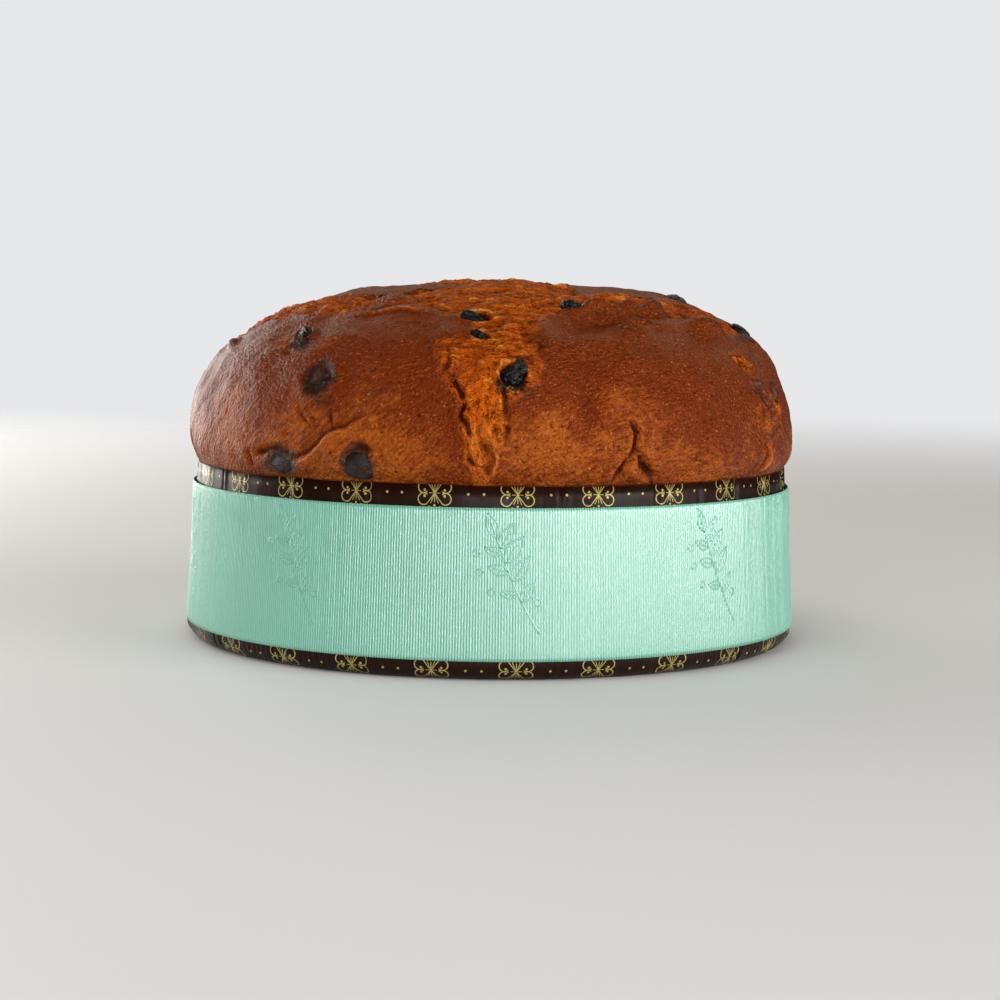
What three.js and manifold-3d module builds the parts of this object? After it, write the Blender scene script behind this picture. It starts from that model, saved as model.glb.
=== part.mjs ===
// Panettone: a domed sweet loaf with raisins, baked and sold in its low paper mould, with a
// grosgrain ribbon round the mould. Millimetres, +Z up. The origin is the middle of the mould's
// underside and the front faces -Y. An azimuth is measured from the front towards +X.
import * as THREE from "three";
import { mergeVertices } from "three/addons/utils/BufferGeometryUtils.js";
import Module from "manifold-3d";

const wasm = await Module();
wasm.setup();

const azimuthSteps = 96; // facets round the loaf, the mould and the ribbon
const touchGap = 0.3; // clearance left between pieces that touch

// The wall is a strip of glossed paper, glued to itself at the lap. It tapers a little towards
// its rim, and its lower edge is folded in as a flange that carries the base.
const mould = {
  height: 60,
  footRadius: 105,
  rimRadius: 101.7,
  cornerRadius: 5.5,
  cornerSteps: 5,
  paper: 0.5,
  flangeInnerRadius: 88,
  lapAzimuth: 150,
  lapSteps: 3,
};
const base = { radius: 98.6, thickness: 0.6 }; // a card disc that lies on the flange
// Two skewers went through the foot of the mould, to hang the baked loaf upside down while it cooled.
const skewerHole = { radius: 1, drillLength: 4, facets: 12, height: 4, azimuths: [57, 123, -123, -57] };

const ribbon = { bottom: 6.4, width: 47, thickness: 0.35, startAzimuth: 172.5, lapSteps: 4, rampSteps: 2 };
const tape = { thickness: 0.2, width: 36, steps: 2 }; // double-sided tape inside the ribbon's lap

// The loaf swells out over the rim, is widest a little above it, and closes in a broad dome whose
// right side is the squarer one. A cross cut in the crust has opened into four shallow tears.
const loaf = {
  radius: 104.5,
  widestHeight: 69,
  top: 123,
  lipHeight: 60.4,
  lipOverhang: 3.2,
  lipAngle: 8,
  lipPower: 2.2,
  sideSteps: 2,
  lipSteps: 4,
  domeSteps: 15,
  squareness: 2.4,
  squarenessRight: 0.25,
};
const tears = { azimuths: [1, 80, 178, -93], depth: 1.6, fadeShare: 0.3, rimHalfWidth: 3, topHalfWidth: 17 };

// Raisins that break the crust. Each lies at an azimuth and at an angle up the dome, from 0 at the
// loaf's widest ring to 90 at its top and below 0 on the lip, with half its length, width and
// thickness, the turn of its length in the crust, and how deep its middle is sunk.
const raisins = [
  { azimuth: -3, rise: 50, half: [5.4, 3.2, 2.8], turn: 4, sunk: 0.9 },
  { azimuth: -2.5, rise: 40, half: [3.2, 2.6, 2.4], turn: -20, sunk: 0.6 },
  { azimuth: 3.9, rise: 23.3, half: [4.6, 4.2, 3.4], turn: 60, sunk: 0.8 },
  { azimuth: 23, rise: 56.5, half: [4.6, 3.4, 3.2], turn: 25, sunk: 1.2 },
  { azimuth: -33, rise: 20.5, half: [5.6, 5.2, 3.4], turn: 60, sunk: 1.6 },
  { azimuth: 83, rise: 59, half: [4.8, 4.0, 3.6], turn: 10, sunk: 0.4 },
  { azimuth: 78, rise: 39, half: [4.4, 3.8, 3.3], turn: 50, sunk: 0.9 },
  { azimuth: 65.5, rise: 13.5, half: [4.2, 3.0, 2.7], turn: 78, sunk: 1.0 },
  { azimuth: -45.5, rise: 38.5, half: [4.3, 3.3, 3.0], turn: -30, sunk: 1.3 },
  { azimuth: -23, rise: -3, half: [5.7, 4.4, 3.9], turn: -12, sunk: 1.6 },
  { azimuth: -39.5, rise: -4, half: [6.2, 3.9, 3.6], turn: 5, sunk: 1.9 },
  { azimuth: 104, rise: 9, half: [5.2, 3.8, 3.4], turn: -35, sunk: 0.9 },
  { azimuth: 127, rise: 33, half: [4.7, 3.9, 3.3], turn: 70, sunk: 1.0 },
  { azimuth: 152, rise: -2, half: [5.6, 4.0, 3.6], turn: 15, sunk: 1.5 },
  { azimuth: 170, rise: 24, half: [5.0, 3.6, 3.3], turn: -55, sunk: 0.8 },
  { azimuth: -160, rise: 46, half: [4.4, 3.7, 3.1], turn: 30, sunk: 1.1 },
  { azimuth: -139, rise: 7, half: [5.8, 4.1, 3.7], turn: -15, sunk: 1.2 },
  { azimuth: -115, rise: 30, half: [4.1, 3.5, 3.0], turn: 85, sunk: 0.8 },
  { azimuth: -104, rise: 3, half: [4.9, 3.7, 3.3], turn: 20, sunk: 1.4 },
  { azimuth: 158, rise: 61, half: [5.0, 3.6, 3.2], turn: 40, sunk: 0.9 },
  { azimuth: -118, rise: 64, half: [4.6, 3.9, 3.3], turn: -65, sunk: 0.7 },
];
const raisinSkinShape = { around: 9, along: 6, dent: 0.1 };

const radians = THREE.MathUtils.degToRad;
const smooth = THREE.MathUtils.smoothstep;

// The point at a distance from the axis, on an azimuth, at a height.
function pointAt(azimuth, radius, height) {
  const a = radians(azimuth);
  return new THREE.Vector3(radius * Math.sin(a), -radius * Math.cos(a), height);
}

// A skin over a row of loops of the same number of points. A ring joins its last loop to its
// first; otherwise each end is closed by a fan. The faces are turned outwards at the end.
function loft(loops, ring = false) {
  const size = loops[0].length;
  const points = loops.flat();
  const faces = [];
  const spans = ring ? loops.length : loops.length - 1;
  for (let i = 0; i < spans; i++) {
    for (let j = 0; j < size; j++) {
      const a = i * size + j;
      const b = i * size + ((j + 1) % size);
      const c = ((i + 1) % loops.length) * size + ((j + 1) % size);
      const d = ((i + 1) % loops.length) * size + j;
      faces.push([a, b, c], [a, c, d]);
    }
  }
  if (!ring) {
    for (const end of [0, loops.length - 1]) {
      const middle = new THREE.Vector3();
      loops[end].forEach((p) => middle.addScaledVector(p, 1 / size));
      for (let j = 0; j < size; j++) {
        const edge = [end * size + j, end * size + ((j + 1) % size)];
        faces.push(end === 0 ? [points.length, edge[1], edge[0]] : [points.length, edge[0], edge[1]]);
      }
      points.push(middle);
    }
  }
  const volume = faces.reduce((sum, f) => sum + signedVolume(...f.map((i) => points[i])), 0);
  const outward = volume < 0 ? faces.map(([a, b, c]) => [a, c, b]) : faces;
  return new THREE.BufferGeometry().setFromPoints(points).setIndex(outward.flat());
}

function signedVolume(a, b, c) {
  return a.dot(new THREE.Vector3().crossVectors(b, c)) / 6;
}

function toSolid(geometry) {
  const bare = new THREE.BufferGeometry().setAttribute("position", geometry.getAttribute("position"));
  bare.setIndex(geometry.index);
  const merged = mergeVertices(bare, 1e-4);
  return new wasm.Manifold(
    new wasm.Mesh({
      numProp: 3,
      vertProperties: merged.attributes.position.array,
      triVerts: new Uint32Array(merged.index.array),
    }),
  );
}

function toGeometry(solid) {
  const mesh = solid.getMesh();
  return new THREE.BufferGeometry()
    .setAttribute("position", new THREE.BufferAttribute(mesh.vertProperties, 3))
    .setIndex(new THREE.BufferAttribute(mesh.triVerts, 1));
}

// The wall's outer radius at a height above its rounded foot.
function wallRadius(height) {
  const share = (height - mould.cornerRadius) / (mould.height - mould.cornerRadius);
  return mould.footRadius + (mould.rimRadius - mould.footRadius) * share;
}

// How far the glued lap stands out of the wall at an azimuth: one paper, with a step to each side.
function lapStand(azimuth) {
  const step = 360 / azimuthSteps;
  const beyond = Math.abs(THREE.MathUtils.euclideanModulo(azimuth - mould.lapAzimuth + 180, 360) - 180);
  const halfLap = (mould.lapSteps * step) / 2;
  return mould.paper * (1 - smooth(beyond, halfLap, halfLap + step));
}

// The rounded foot of the mould, a distance inside its outer face, from an angle up to the side.
function footArc(inset, fromAngle) {
  const reach = mould.cornerRadius - inset;
  return Array.from({ length: mould.cornerSteps + 1 }, (_, i) => {
    const angle = radians(fromAngle * (1 - i / mould.cornerSteps));
    return {
      radius: mould.footRadius - mould.cornerRadius + reach * Math.cos(angle),
      height: mould.cornerRadius + reach * Math.sin(angle),
      outness: Math.cos(angle),
    };
  });
}

function mouldWall() {
  const outer = [
    { radius: mould.flangeInnerRadius, height: 0, outness: 0 },
    ...footArc(0, -90),
    { radius: mould.rimRadius, height: mould.height, outness: 1 },
  ];
  const inner = [
    { radius: mould.rimRadius - mould.paper, height: mould.height },
    ...footArc(mould.paper, -90).reverse(),
    { radius: mould.flangeInnerRadius, height: mould.paper },
  ];
  const sections = [];
  for (let step = 0; step < azimuthSteps; step++) {
    const azimuth = (step * 360) / azimuthSteps;
    const stand = lapStand(azimuth);
    sections.push([
      ...outer.map((p) => pointAt(azimuth, p.radius + stand * p.outness, p.height)),
      ...inner.map((p) => pointAt(azimuth, p.radius, p.height)),
    ]);
  }
  let wall = toSolid(loft(sections, true));
  for (const azimuth of skewerHole.azimuths) {
    const { radius, drillLength, facets } = skewerHole;
    const drill = new THREE.CylinderGeometry(radius, radius, drillLength, facets);
    drill.rotateZ(Math.PI / 2);
    drill.rotateZ(radians(azimuth - 90));
    drill.translate(...pointAt(azimuth, mould.footRadius, skewerHole.height).toArray());
    wall = wall.subtract(toSolid(drill));
  }
  return toGeometry(wall);
}

function mouldBase() {
  const low = mould.paper + touchGap;
  const rim = (height) =>
    Array.from({ length: azimuthSteps }, (_, i) => pointAt((i * 360) / azimuthSteps, base.radius, height));
  return loft([rim(low), rim(low + base.thickness)]);
}

// Part of a band round the mould, between two radii that each follow the wall's taper.
function band(firstStep, lastStep, bottom, width, thickness, standAt) {
  const sections = [];
  for (let step = firstStep; step <= lastStep; step++) {
    const azimuth = ribbon.startAzimuth + (step * 360) / azimuthSteps;
    const stand = lapStand(azimuth) + standAt(step);
    const corner = (height, extra) => pointAt(azimuth, wallRadius(height) + stand + extra, height);
    sections.push([
      corner(bottom, 0),
      corner(bottom, thickness),
      corner(bottom + width, thickness),
      corner(bottom + width, 0),
    ]);
  }
  return loft(sections);
}

// The outer end of the ribbon lies on the tape, which lies on the ribbon's inner end.
const tapeStand = 2 * touchGap + ribbon.thickness;
const outerEndStand = tapeStand + tape.thickness + touchGap;

function ribbonBand() {
  const standAt = (step) =>
    touchGap + (outerEndStand - touchGap) * smooth(step, azimuthSteps - ribbon.rampSteps, azimuthSteps);
  const lastStep = azimuthSteps + ribbon.lapSteps;
  return band(0, lastStep, ribbon.bottom, ribbon.width, ribbon.thickness, standAt);
}

function ribbonTape() {
  const first = azimuthSteps + (ribbon.lapSteps - tape.steps) / 2;
  const bottom = ribbon.bottom + (ribbon.width - tape.width) / 2;
  return band(first, first + tape.steps, bottom, tape.width, tape.thickness, () => tapeStand);
}

// How deep the tears are at a point of the dome: each runs out from the middle along its azimuth
// and narrows towards the rim.
function tearDepth(azimuth, radius) {
  const openness = 1 - radius / loaf.radius;
  const halfWidth = tears.rimHalfWidth + (tears.topHalfWidth - tears.rimHalfWidth) * openness;
  const nearest = Math.min(
    ...tears.azimuths.map((arm) => {
      const turn = radians(azimuth - arm);
      return Math.cos(turn) > 0 ? Math.abs(radius * Math.sin(turn)) : radius;
    }),
  );
  const across = 1 - smooth(nearest, halfWidth / 2, halfWidth);
  return tears.depth * smooth(openness, 0, tears.fadeShare) * across;
}

// The crust at an azimuth and an angle up the dome. Above the widest ring it is a superellipse,
// lowered in the tears; below it the lip curves in to the rim of the mould.
function crust(azimuth, rise) {
  const side = Math.max(0, Math.sin(radians(azimuth)));
  const power = 2 / (loaf.squareness + loaf.squarenessRight * side);
  if (rise < 0) {
    const drop = Math.min(1, -rise / loaf.lipAngle);
    const height = loaf.widestHeight - (loaf.widestHeight - loaf.lipHeight) * drop;
    return pointAt(azimuth, loaf.radius - loaf.lipOverhang * drop ** loaf.lipPower, height);
  }
  const radius = loaf.radius * Math.cos(radians(rise)) ** power;
  const height = loaf.widestHeight + (loaf.top - loaf.widestHeight) * Math.sin(radians(rise)) ** power;
  return pointAt(azimuth, radius, height - tearDepth(azimuth, radius));
}

// The raisin's middle on the crust, with its length, width and thickness directions.
function raisinPlace(raisin) {
  const nudge = 0.5; // degrees, to feel the slope of the crust
  const here = crust(raisin.azimuth, raisin.rise);
  const round = crust(raisin.azimuth + nudge, raisin.rise).sub(here).normalize();
  const up = crust(raisin.azimuth, raisin.rise + nudge).sub(here).normalize();
  const out = new THREE.Vector3().crossVectors(round, up).normalize();
  round.applyAxisAngle(out, radians(raisin.turn));
  const across = new THREE.Vector3().crossVectors(out, round);
  const middle = here.addScaledVector(out, -raisin.sunk);
  return new THREE.Matrix4().makeBasis(round, across, out).setPosition(middle);
}

// A shrivelled oval, pressed in a little along its top, bottom and sides.
function raisinSkin(raisin, extra) {
  const [length, width, thickness] = raisin.half.map((size) => size + extra);
  const place = raisinPlace(raisin);
  const loops = [];
  for (let row = 1; row < raisinSkinShape.along; row++) {
    const along = Math.PI * (row / raisinSkinShape.along);
    loops.push(
      Array.from({ length: raisinSkinShape.around }, (_, i) => {
        const turn = (2 * Math.PI * i) / raisinSkinShape.around;
        const fold = 1 - raisinSkinShape.dent * Math.cos(2 * turn) ** 2 * Math.sin(along);
        const point = new THREE.Vector3(
          length * Math.cos(along),
          width * Math.sin(along) * Math.cos(turn) * fold,
          thickness * Math.sin(along) * Math.sin(turn),
        );
        return point.applyMatrix4(place);
      }),
    );
  }
  return loft(loops);
}

function loafBody() {
  const inset = mould.paper + touchGap;
  const floor = mould.paper + base.thickness + 2 * touchGap;
  const floorAngle = THREE.MathUtils.radToDeg(
    Math.asin((floor - mould.cornerRadius) / (mould.cornerRadius - inset)),
  );
  const neck = mould.height - touchGap;
  const ringOf = (pointFor) =>
    Array.from({ length: azimuthSteps }, (_, i) => pointFor((i * 360) / azimuthSteps));
  const rings = footArc(inset, floorAngle).map((p) => ringOf((a) => pointAt(a, p.radius, p.height)));
  for (let step = 1; step <= loaf.sideSteps; step++) {
    const height = mould.cornerRadius + ((neck - mould.cornerRadius) * step) / loaf.sideSteps;
    rings.push(ringOf((a) => pointAt(a, wallRadius(height) - inset, height)));
  }
  for (let step = loaf.lipSteps; step > 0; step--) {
    const rise = (-loaf.lipAngle * step) / loaf.lipSteps;
    rings.push(ringOf((a) => crust(a, rise)));
  }
  for (let step = 0; step < loaf.domeSteps; step++) {
    const rise = (90 * step) / loaf.domeSteps;
    rings.push(ringOf((a) => crust(a, rise)));
  }
  let body = toSolid(loft(rings));
  for (const raisin of raisins) {
    body = body.subtract(toSolid(raisinSkin(raisin, touchGap)));
  }
  return toGeometry(body);
}

const finishes = {
  crust: { color: 0x8a4216, roughness: 0.5, metalness: 0 },
  raisin: { color: 0x1c1512, roughness: 0.35, metalness: 0 },
  paper: { color: 0x2b130c, roughness: 0.3, metalness: 0 },
  card: { color: 0x3a2013, roughness: 0.8, metalness: 0 },
  grosgrain: { color: 0x9fdcc4, roughness: 0.6, metalness: 0 },
  tape: { color: 0xe8e6dc, roughness: 0.4, metalness: 0 },
};

function piece(name, geometry, finish) {
  const mesh = new THREE.Mesh(geometry, new THREE.MeshStandardMaterial(finishes[finish]));
  mesh.name = name;
  return mesh;
}

const panettone = new THREE.Group();
panettone.add(piece("loaf", loafBody(), "crust"));
raisins.forEach((raisin, i) => {
  const name = "raisin_" + String(i + 1).padStart(2, "0");
  panettone.add(piece(name, raisinSkin(raisin, 0), "raisin"));
});
panettone.add(piece("mould_wall", mouldWall(), "paper"));
panettone.add(piece("mould_base", mouldBase(), "card"));
panettone.add(piece("ribbon", ribbonBand(), "grosgrain"));
panettone.add(piece("ribbon_tape", ribbonTape(), "tape"));

export default panettone;
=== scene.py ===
# Panettone: a torn, glossy loaf with raisins in a pleated paper mould, tied with mint grosgrain.
# Shapes are worked out in millimetres with numpy and put into meshes in metres.
import math

import bpy
import numpy as np
from mathutils import Matrix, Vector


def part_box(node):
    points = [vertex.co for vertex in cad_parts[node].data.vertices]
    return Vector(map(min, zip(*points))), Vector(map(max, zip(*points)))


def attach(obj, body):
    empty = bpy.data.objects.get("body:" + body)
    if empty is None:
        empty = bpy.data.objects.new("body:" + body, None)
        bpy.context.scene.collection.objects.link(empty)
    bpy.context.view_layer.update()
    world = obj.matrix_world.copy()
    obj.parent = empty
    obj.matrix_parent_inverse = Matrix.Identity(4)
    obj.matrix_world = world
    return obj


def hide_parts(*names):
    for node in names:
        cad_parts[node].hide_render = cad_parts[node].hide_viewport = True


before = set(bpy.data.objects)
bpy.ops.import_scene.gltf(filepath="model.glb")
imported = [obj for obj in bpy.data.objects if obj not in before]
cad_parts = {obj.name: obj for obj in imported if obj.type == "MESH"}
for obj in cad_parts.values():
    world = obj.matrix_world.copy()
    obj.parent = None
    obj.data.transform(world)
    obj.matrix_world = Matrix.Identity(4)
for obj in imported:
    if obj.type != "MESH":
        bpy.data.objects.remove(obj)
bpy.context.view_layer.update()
print("frame loaded")

mm = 0.001


def cadSize(node):
    # lowest and highest corner of a CAD piece, in millimetres
    low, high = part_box(node)
    return np.array(low) / mm, np.array(high) / mm


wallHigh = cadSize("mould_wall")[1]
loafHigh = cadSize("loaf")[1]
ribbonLow, ribbonHigh = cadSize("ribbon")
baseLow, baseHigh = cadSize("mould_base")
raisinNames = sorted(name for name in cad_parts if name.startswith("raisin_"))

cameraView = {
    "place": (3.25, -810.5, 122.3),  # mm; level with the top of the dome
    "lens": 83.6,
    "sensor": 36.0,
    "lookDown": 5.35,  # degrees
    "roll": 0.79,
}


def addCamera(view):
    # placed first, then tilted down from level and rolled about its own axis
    data = bpy.data.cameras.new("camera")
    data.lens = view["lens"]
    data.sensor_width = view["sensor"]
    data.clip_start, data.clip_end = 0.01, 50
    camera = bpy.data.objects.new("camera", data)
    bpy.context.scene.collection.objects.link(camera)
    place = Matrix.Translation([v * mm for v in view["place"]])
    tilt = Matrix.Rotation(math.radians(90 - view["lookDown"]), 4, "X")
    roll = Matrix.Rotation(math.radians(view["roll"]), 4, "Z")
    camera.matrix_world = place @ tilt @ roll
    bpy.context.scene.camera = camera


addCamera(cameraView)

studio = {
    "floorRadius": 3.0,
    "floorSolid": 0.45,  # m from the middle where the floor starts to fade
    "floorGone": 1.5,
    "floorColor": (0.62, 0.62, 0.61, 1),
    "floorRoughness": 0.7,
    "backdrop": (0.80, 0.805, 0.82, 1),  # what the camera sees past the floor
    "ambient": (0.88, 0.91, 0.96, 1),
    "ambientStrength": 0.27,
    "mirroredStrength": 0.05,  # the room as reflections see it, darker than the lamps
    "aimHeight": 0.06,  # m, where the lamps point
    # azimuth from the front towards +X and elevation in degrees, distance, width and height in metres,
    # watts, colour
    "lights": {
        "windowLeft": (-132, 9, 1.30, 1.4, 0.7, 17.5, (1.0, 0.97, 0.92)),
        "ceiling": (-30, 66, 1.5, 1.0, 0.8, 5, (1.0, 0.98, 0.95)),
        "rimGlow": (172, 32, 1.6, 1.5, 0.5, 3.2, (1.0, 0.80, 0.54)),
        "leftFill": (-80, 10, 1.8, 1.0, 0.8, 4, (1.0, 0.97, 0.94)),
        "stripFront": (2, 3, 1.6, 0.40, 0.7, 9, (1.0, 0.98, 0.96)),
        "softRight": (58, 12, 1.35, 1.1, 0.9, 17, (1.0, 0.98, 0.95)),
        "frontFill": (-16, 20, 1.9, 1.2, 0.8, 12, (1.0, 0.98, 0.96)),
    },
    "unmirrored": ["frontFill", "leftFill", "ceiling"],  # lamps that reflections don't show
}


class Tree:
    # short ways to add nodes to one node tree
    def __init__(self, tree):
        self.tree = tree

    def add(self, kind, **settings):
        node = self.tree.nodes.new(kind)
        for key, value in settings.items():
            setattr(node, key, value)
        return node

    def link(self, source, target):
        self.tree.links.new(source, target)

    def put(self, socket, value):
        # a link where the value is a socket, else the socket's own value
        if isinstance(value, bpy.types.NodeSocket):
            self.link(value, socket)
        else:
            socket.default_value = value

    def coords(self):
        return self.add("ShaderNodeTexCoord").outputs["Object"]

    def attribute(self, name, output="Fac"):
        return self.add("ShaderNodeAttribute", attribute_name=name).outputs[output]

    def noise(self, vector, scale, detail=2.0, roughness=0.5):
        node = self.add("ShaderNodeTexNoise")
        self.put(node.inputs["Vector"], vector)
        self.put(node.inputs["Scale"], scale)
        self.put(node.inputs["Detail"], detail)
        self.put(node.inputs["Roughness"], roughness)
        return node.outputs["Fac"]

    def scaled(self, vector, scale):
        node = self.add("ShaderNodeVectorMath", operation="MULTIPLY")
        self.put(node.inputs[0], vector)
        node.inputs[1].default_value = scale
        return node.outputs["Vector"]

    def math(self, operation, a, b=0.0, c=None, clamp=False):
        node = self.add("ShaderNodeMath", operation=operation, use_clamp=clamp)
        self.put(node.inputs[0], a)
        self.put(node.inputs[1], b)
        if c is not None:
            self.put(node.inputs[2], c)
        return node.outputs[0]

    def plus(self, a, b):
        return self.math("ADD", a, b)

    def minus(self, a, b):
        return self.math("SUBTRACT", a, b)

    def times(self, a, b):
        return self.math("MULTIPLY", a, b)

    def swing(self, noise, gain):
        # how far a noise is from its middle, 0.5, times the gain
        return self.times(self.minus(noise, 0.5), gain)

    def length(self, x, y):
        return self.math("SQRT", self.plus(self.times(x, x), self.times(y, y)))

    def ramp(self, value, low, high, toLow=0.0, toHigh=1.0):
        node = self.add("ShaderNodeMapRange", interpolation_type="SMOOTHSTEP")
        self.put(node.inputs["Value"], value)
        self.put(node.inputs["From Min"], low)
        self.put(node.inputs["From Max"], high)
        self.put(node.inputs["To Min"], toLow)
        self.put(node.inputs["To Max"], toHigh)
        return node.outputs["Result"]

    def mix(self, share, a, b):
        node = self.add("ShaderNodeMix", data_type="RGBA")
        self.put(node.inputs[0], share)
        self.put(node.inputs[6], a)
        self.put(node.inputs[7], b)
        return node.outputs[2]

    def bump(self, height, distance, strength=1.0, normal=None):
        node = self.add("ShaderNodeBump")
        self.put(node.inputs["Height"], height)
        self.put(node.inputs["Distance"], distance)
        self.put(node.inputs["Strength"], strength)
        if normal is not None:
            self.link(normal, node.inputs["Normal"])
        return node.outputs["Normal"]


def newMaterial(name):
    # a material with one Principled shader, and its tree ready for nodes
    material = bpy.data.materials.new(name)
    material.use_nodes = True
    material.node_tree.nodes.clear()
    t = Tree(material.node_tree)
    out = t.add("ShaderNodeOutputMaterial")
    shader = t.add("ShaderNodeBsdfPrincipled")
    t.link(shader.outputs[0], out.inputs["Surface"])
    return material, t, shader


def addWorld(look):
    # the camera sees the backdrop, reflections see a dark room, and all else the ambient light
    world = bpy.data.worlds.new("studio")
    bpy.context.scene.world = world
    world.use_nodes = True
    world.node_tree.nodes.clear()
    t = Tree(world.node_tree)
    path = t.add("ShaderNodeLightPath")

    def background(color, strength):
        node = t.add("ShaderNodeBackground")
        t.put(node.inputs["Color"], color)
        t.put(node.inputs["Strength"], strength)
        return node.outputs[0]

    def choose(share, without, within):
        node = t.add("ShaderNodeMixShader")
        for socket, source in zip(node.inputs, (share, without, within)):
            t.link(source, socket)
        return node.outputs[0]

    ambient = background(look["ambient"], look["ambientStrength"])
    mirrored = background(look["ambient"], look["mirroredStrength"])
    room = choose(path.outputs["Is Glossy Ray"], ambient, mirrored)
    seen = choose(path.outputs["Is Camera Ray"], room, background(look["backdrop"], 1.0))
    t.link(seen, t.add("ShaderNodeOutputWorld").inputs["Surface"])


def addFloor(look):
    # a disc whose alpha falls from 1 to 0 with the distance from its middle
    bpy.ops.mesh.primitive_circle_add(vertices=96, radius=look["floorRadius"], fill_type="TRIFAN")
    floor = bpy.context.object
    floor.name = "floor"
    material, t, shader = newMaterial("floor")
    shader.inputs["Base Color"].default_value = look["floorColor"]
    shader.inputs["Roughness"].default_value = look["floorRoughness"]
    reach = t.add("ShaderNodeVectorMath", operation="LENGTH")
    t.link(t.coords(), reach.inputs[0])
    fade = t.ramp(reach.outputs["Value"], look["floorSolid"], look["floorGone"], 1, 0)
    t.link(fade, shader.inputs["Alpha"])
    floor.data.materials.append(material)


def addLights(look):
    # rectangular lamps on a sphere round the aim, turned to face it
    aim = np.array([0, 0, look["aimHeight"]])
    for name, (azimuth, elevation, distance, width, height, watts, color) in look["lights"].items():
        data = bpy.data.lights.new(name, "AREA")
        data.shape = "RECTANGLE"
        data.size, data.size_y = width, height
        data.energy = watts
        data.color = color
        light = bpy.data.objects.new(name, data)
        bpy.context.scene.collection.objects.link(light)
        a, e = math.radians(azimuth), math.radians(elevation)
        away = np.array([math.sin(a) * math.cos(e), -math.cos(a) * math.cos(e), math.sin(e)])
        turn = Matrix.Rotation(a, 4, "Z") @ Matrix.Rotation(math.pi / 2 - e, 4, "X")
        light.matrix_world = Matrix.Translation(aim + away * distance) @ turn
        light.visible_glossy = name not in look["unmirrored"]


def setColors():
    # plain colours, with no film look
    view = bpy.context.scene.view_settings
    view.view_transform = "Standard"
    view.look = "None"
    view.exposure = 0
    view.gamma = 1


addWorld(studio)
addFloor(studio)
addLights(studio)
setColors()
print("camera, floor and light")


def smoothStep(value, low, high):
    # 0 below low, 1 above high, and 3 t^2 - 2 t^3 between
    t = np.clip((value - low) / (high - low), 0, 1)
    return t * t * (3 - 2 * t)


def bell(value, width):
    # exp of minus the square of value over width
    return np.exp(-((value / width) ** 2))


def latticeNoise(points, size, seed):
    # random values from -1 to 1 on a cubic lattice of this size, blended by a smooth step along each axis
    p = points / size + seed * 17.31
    cell = np.floor(p).astype(np.int64)
    part = p - cell
    part = part * part * part * (part * (part * 6 - 15) + 10)
    total = 0
    for dx in (0, 1):
        for dy in (0, 1):
            for dz in (0, 1):
                i, j, k = cell[..., 0] + dx, cell[..., 1] + dy, cell[..., 2] + dz
                mixed = (i * 73856093) ^ (j * 19349663) ^ (k * 83492791) ^ (seed * 2654435761)
                mixed = (mixed ^ (mixed >> 13)) * 1274126177 & 0xFFFFFFFF
                mixed = (mixed ^ (mixed >> 16)) & 0xFFFF
                weight = (part[..., 0] if dx else 1 - part[..., 0])
                weight = weight * (part[..., 1] if dy else 1 - part[..., 1])
                weight = weight * (part[..., 2] if dz else 1 - part[..., 2])
                total = total + weight * (mixed / 32767.5 - 1)
    return total


def roughNoise(points, size, seed, octaves=3):
    # lattice noise with its halves and quarters added at half and quarter strength
    total, strength = 0, 1.0
    for octave in range(octaves):
        total = total + strength * latticeNoise(points, size / 2**octave, seed + octave)
        strength *= 0.5
    return total


def unit(vectors):
    # each vector divided by its length
    return vectors / (np.linalg.norm(vectors, axis=-1, keepdims=True) + 1e-9)


def putMesh(name, points, faces, attributes=None):
    # points in millimetres; faces an array of quads and then any closing rings; attributes hold one value
    # or vector a point
    mesh = bpy.data.meshes.new(name)
    quads, rings = faces[0], faces[1:]
    loops = np.concatenate([quads.ravel()] + rings)
    totals = np.array([4] * len(quads) + [len(ring) for ring in rings])
    starts = np.cumsum(totals) - totals
    mesh.vertices.add(len(points))
    mesh.vertices.foreach_set("co", (points * mm).astype(np.float32).ravel())
    mesh.loops.add(len(loops))
    mesh.loops.foreach_set("vertex_index", loops.astype(np.int32))
    mesh.polygons.add(len(totals))
    mesh.polygons.foreach_set("loop_start", starts.astype(np.int32))
    mesh.polygons.foreach_set("loop_total", totals.astype(np.int32))
    mesh.polygons.foreach_set("use_smooth", np.full(len(totals), True))
    mesh.update(calc_edges=True)
    for key, values in (attributes or {}).items():
        isVector = values.ndim == 2
        layer = mesh.attributes.new(key, "FLOAT_VECTOR" if isVector else "FLOAT", "POINT")
        layer.data.foreach_set("vector" if isVector else "value", values.astype(np.float32).ravel())
    mesh.validate()
    piece = bpy.data.objects.new(name, mesh)
    bpy.context.scene.collection.objects.link(piece)
    return piece


def gridQuads(rows, columns, closedRows=False, closedColumns=False, first=0):
    # quads between neighbours of a grid of points numbered row by row
    i = np.arange(rows if closedRows else rows - 1)[:, None]
    j = np.arange(columns if closedColumns else columns - 1)[None, :]
    iNext, jNext = (i + 1) % rows, (j + 1) % columns
    corners = np.stack(np.broadcast_arrays(
        i * columns + j, i * columns + jNext, iNext * columns + jNext, iNext * columns + j), -1)
    return corners.reshape(-1, 4) + first


def closedGrid(rows, columns, first=0):
    # the quads of a grid that is closed round its columns, and a ring over each end
    end = first + np.arange(columns)
    return [gridQuads(rows, columns, closedColumns=True, first=first), end[::-1], end + (rows - 1) * columns]


def around(azimuth, radius, height):
    # the point at a radius and height on an azimuth, counted in radians from the front towards +X
    return np.stack(np.broadcast_arrays(radius * np.sin(azimuth), -radius * np.cos(azimuth), height), -1)


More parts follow.
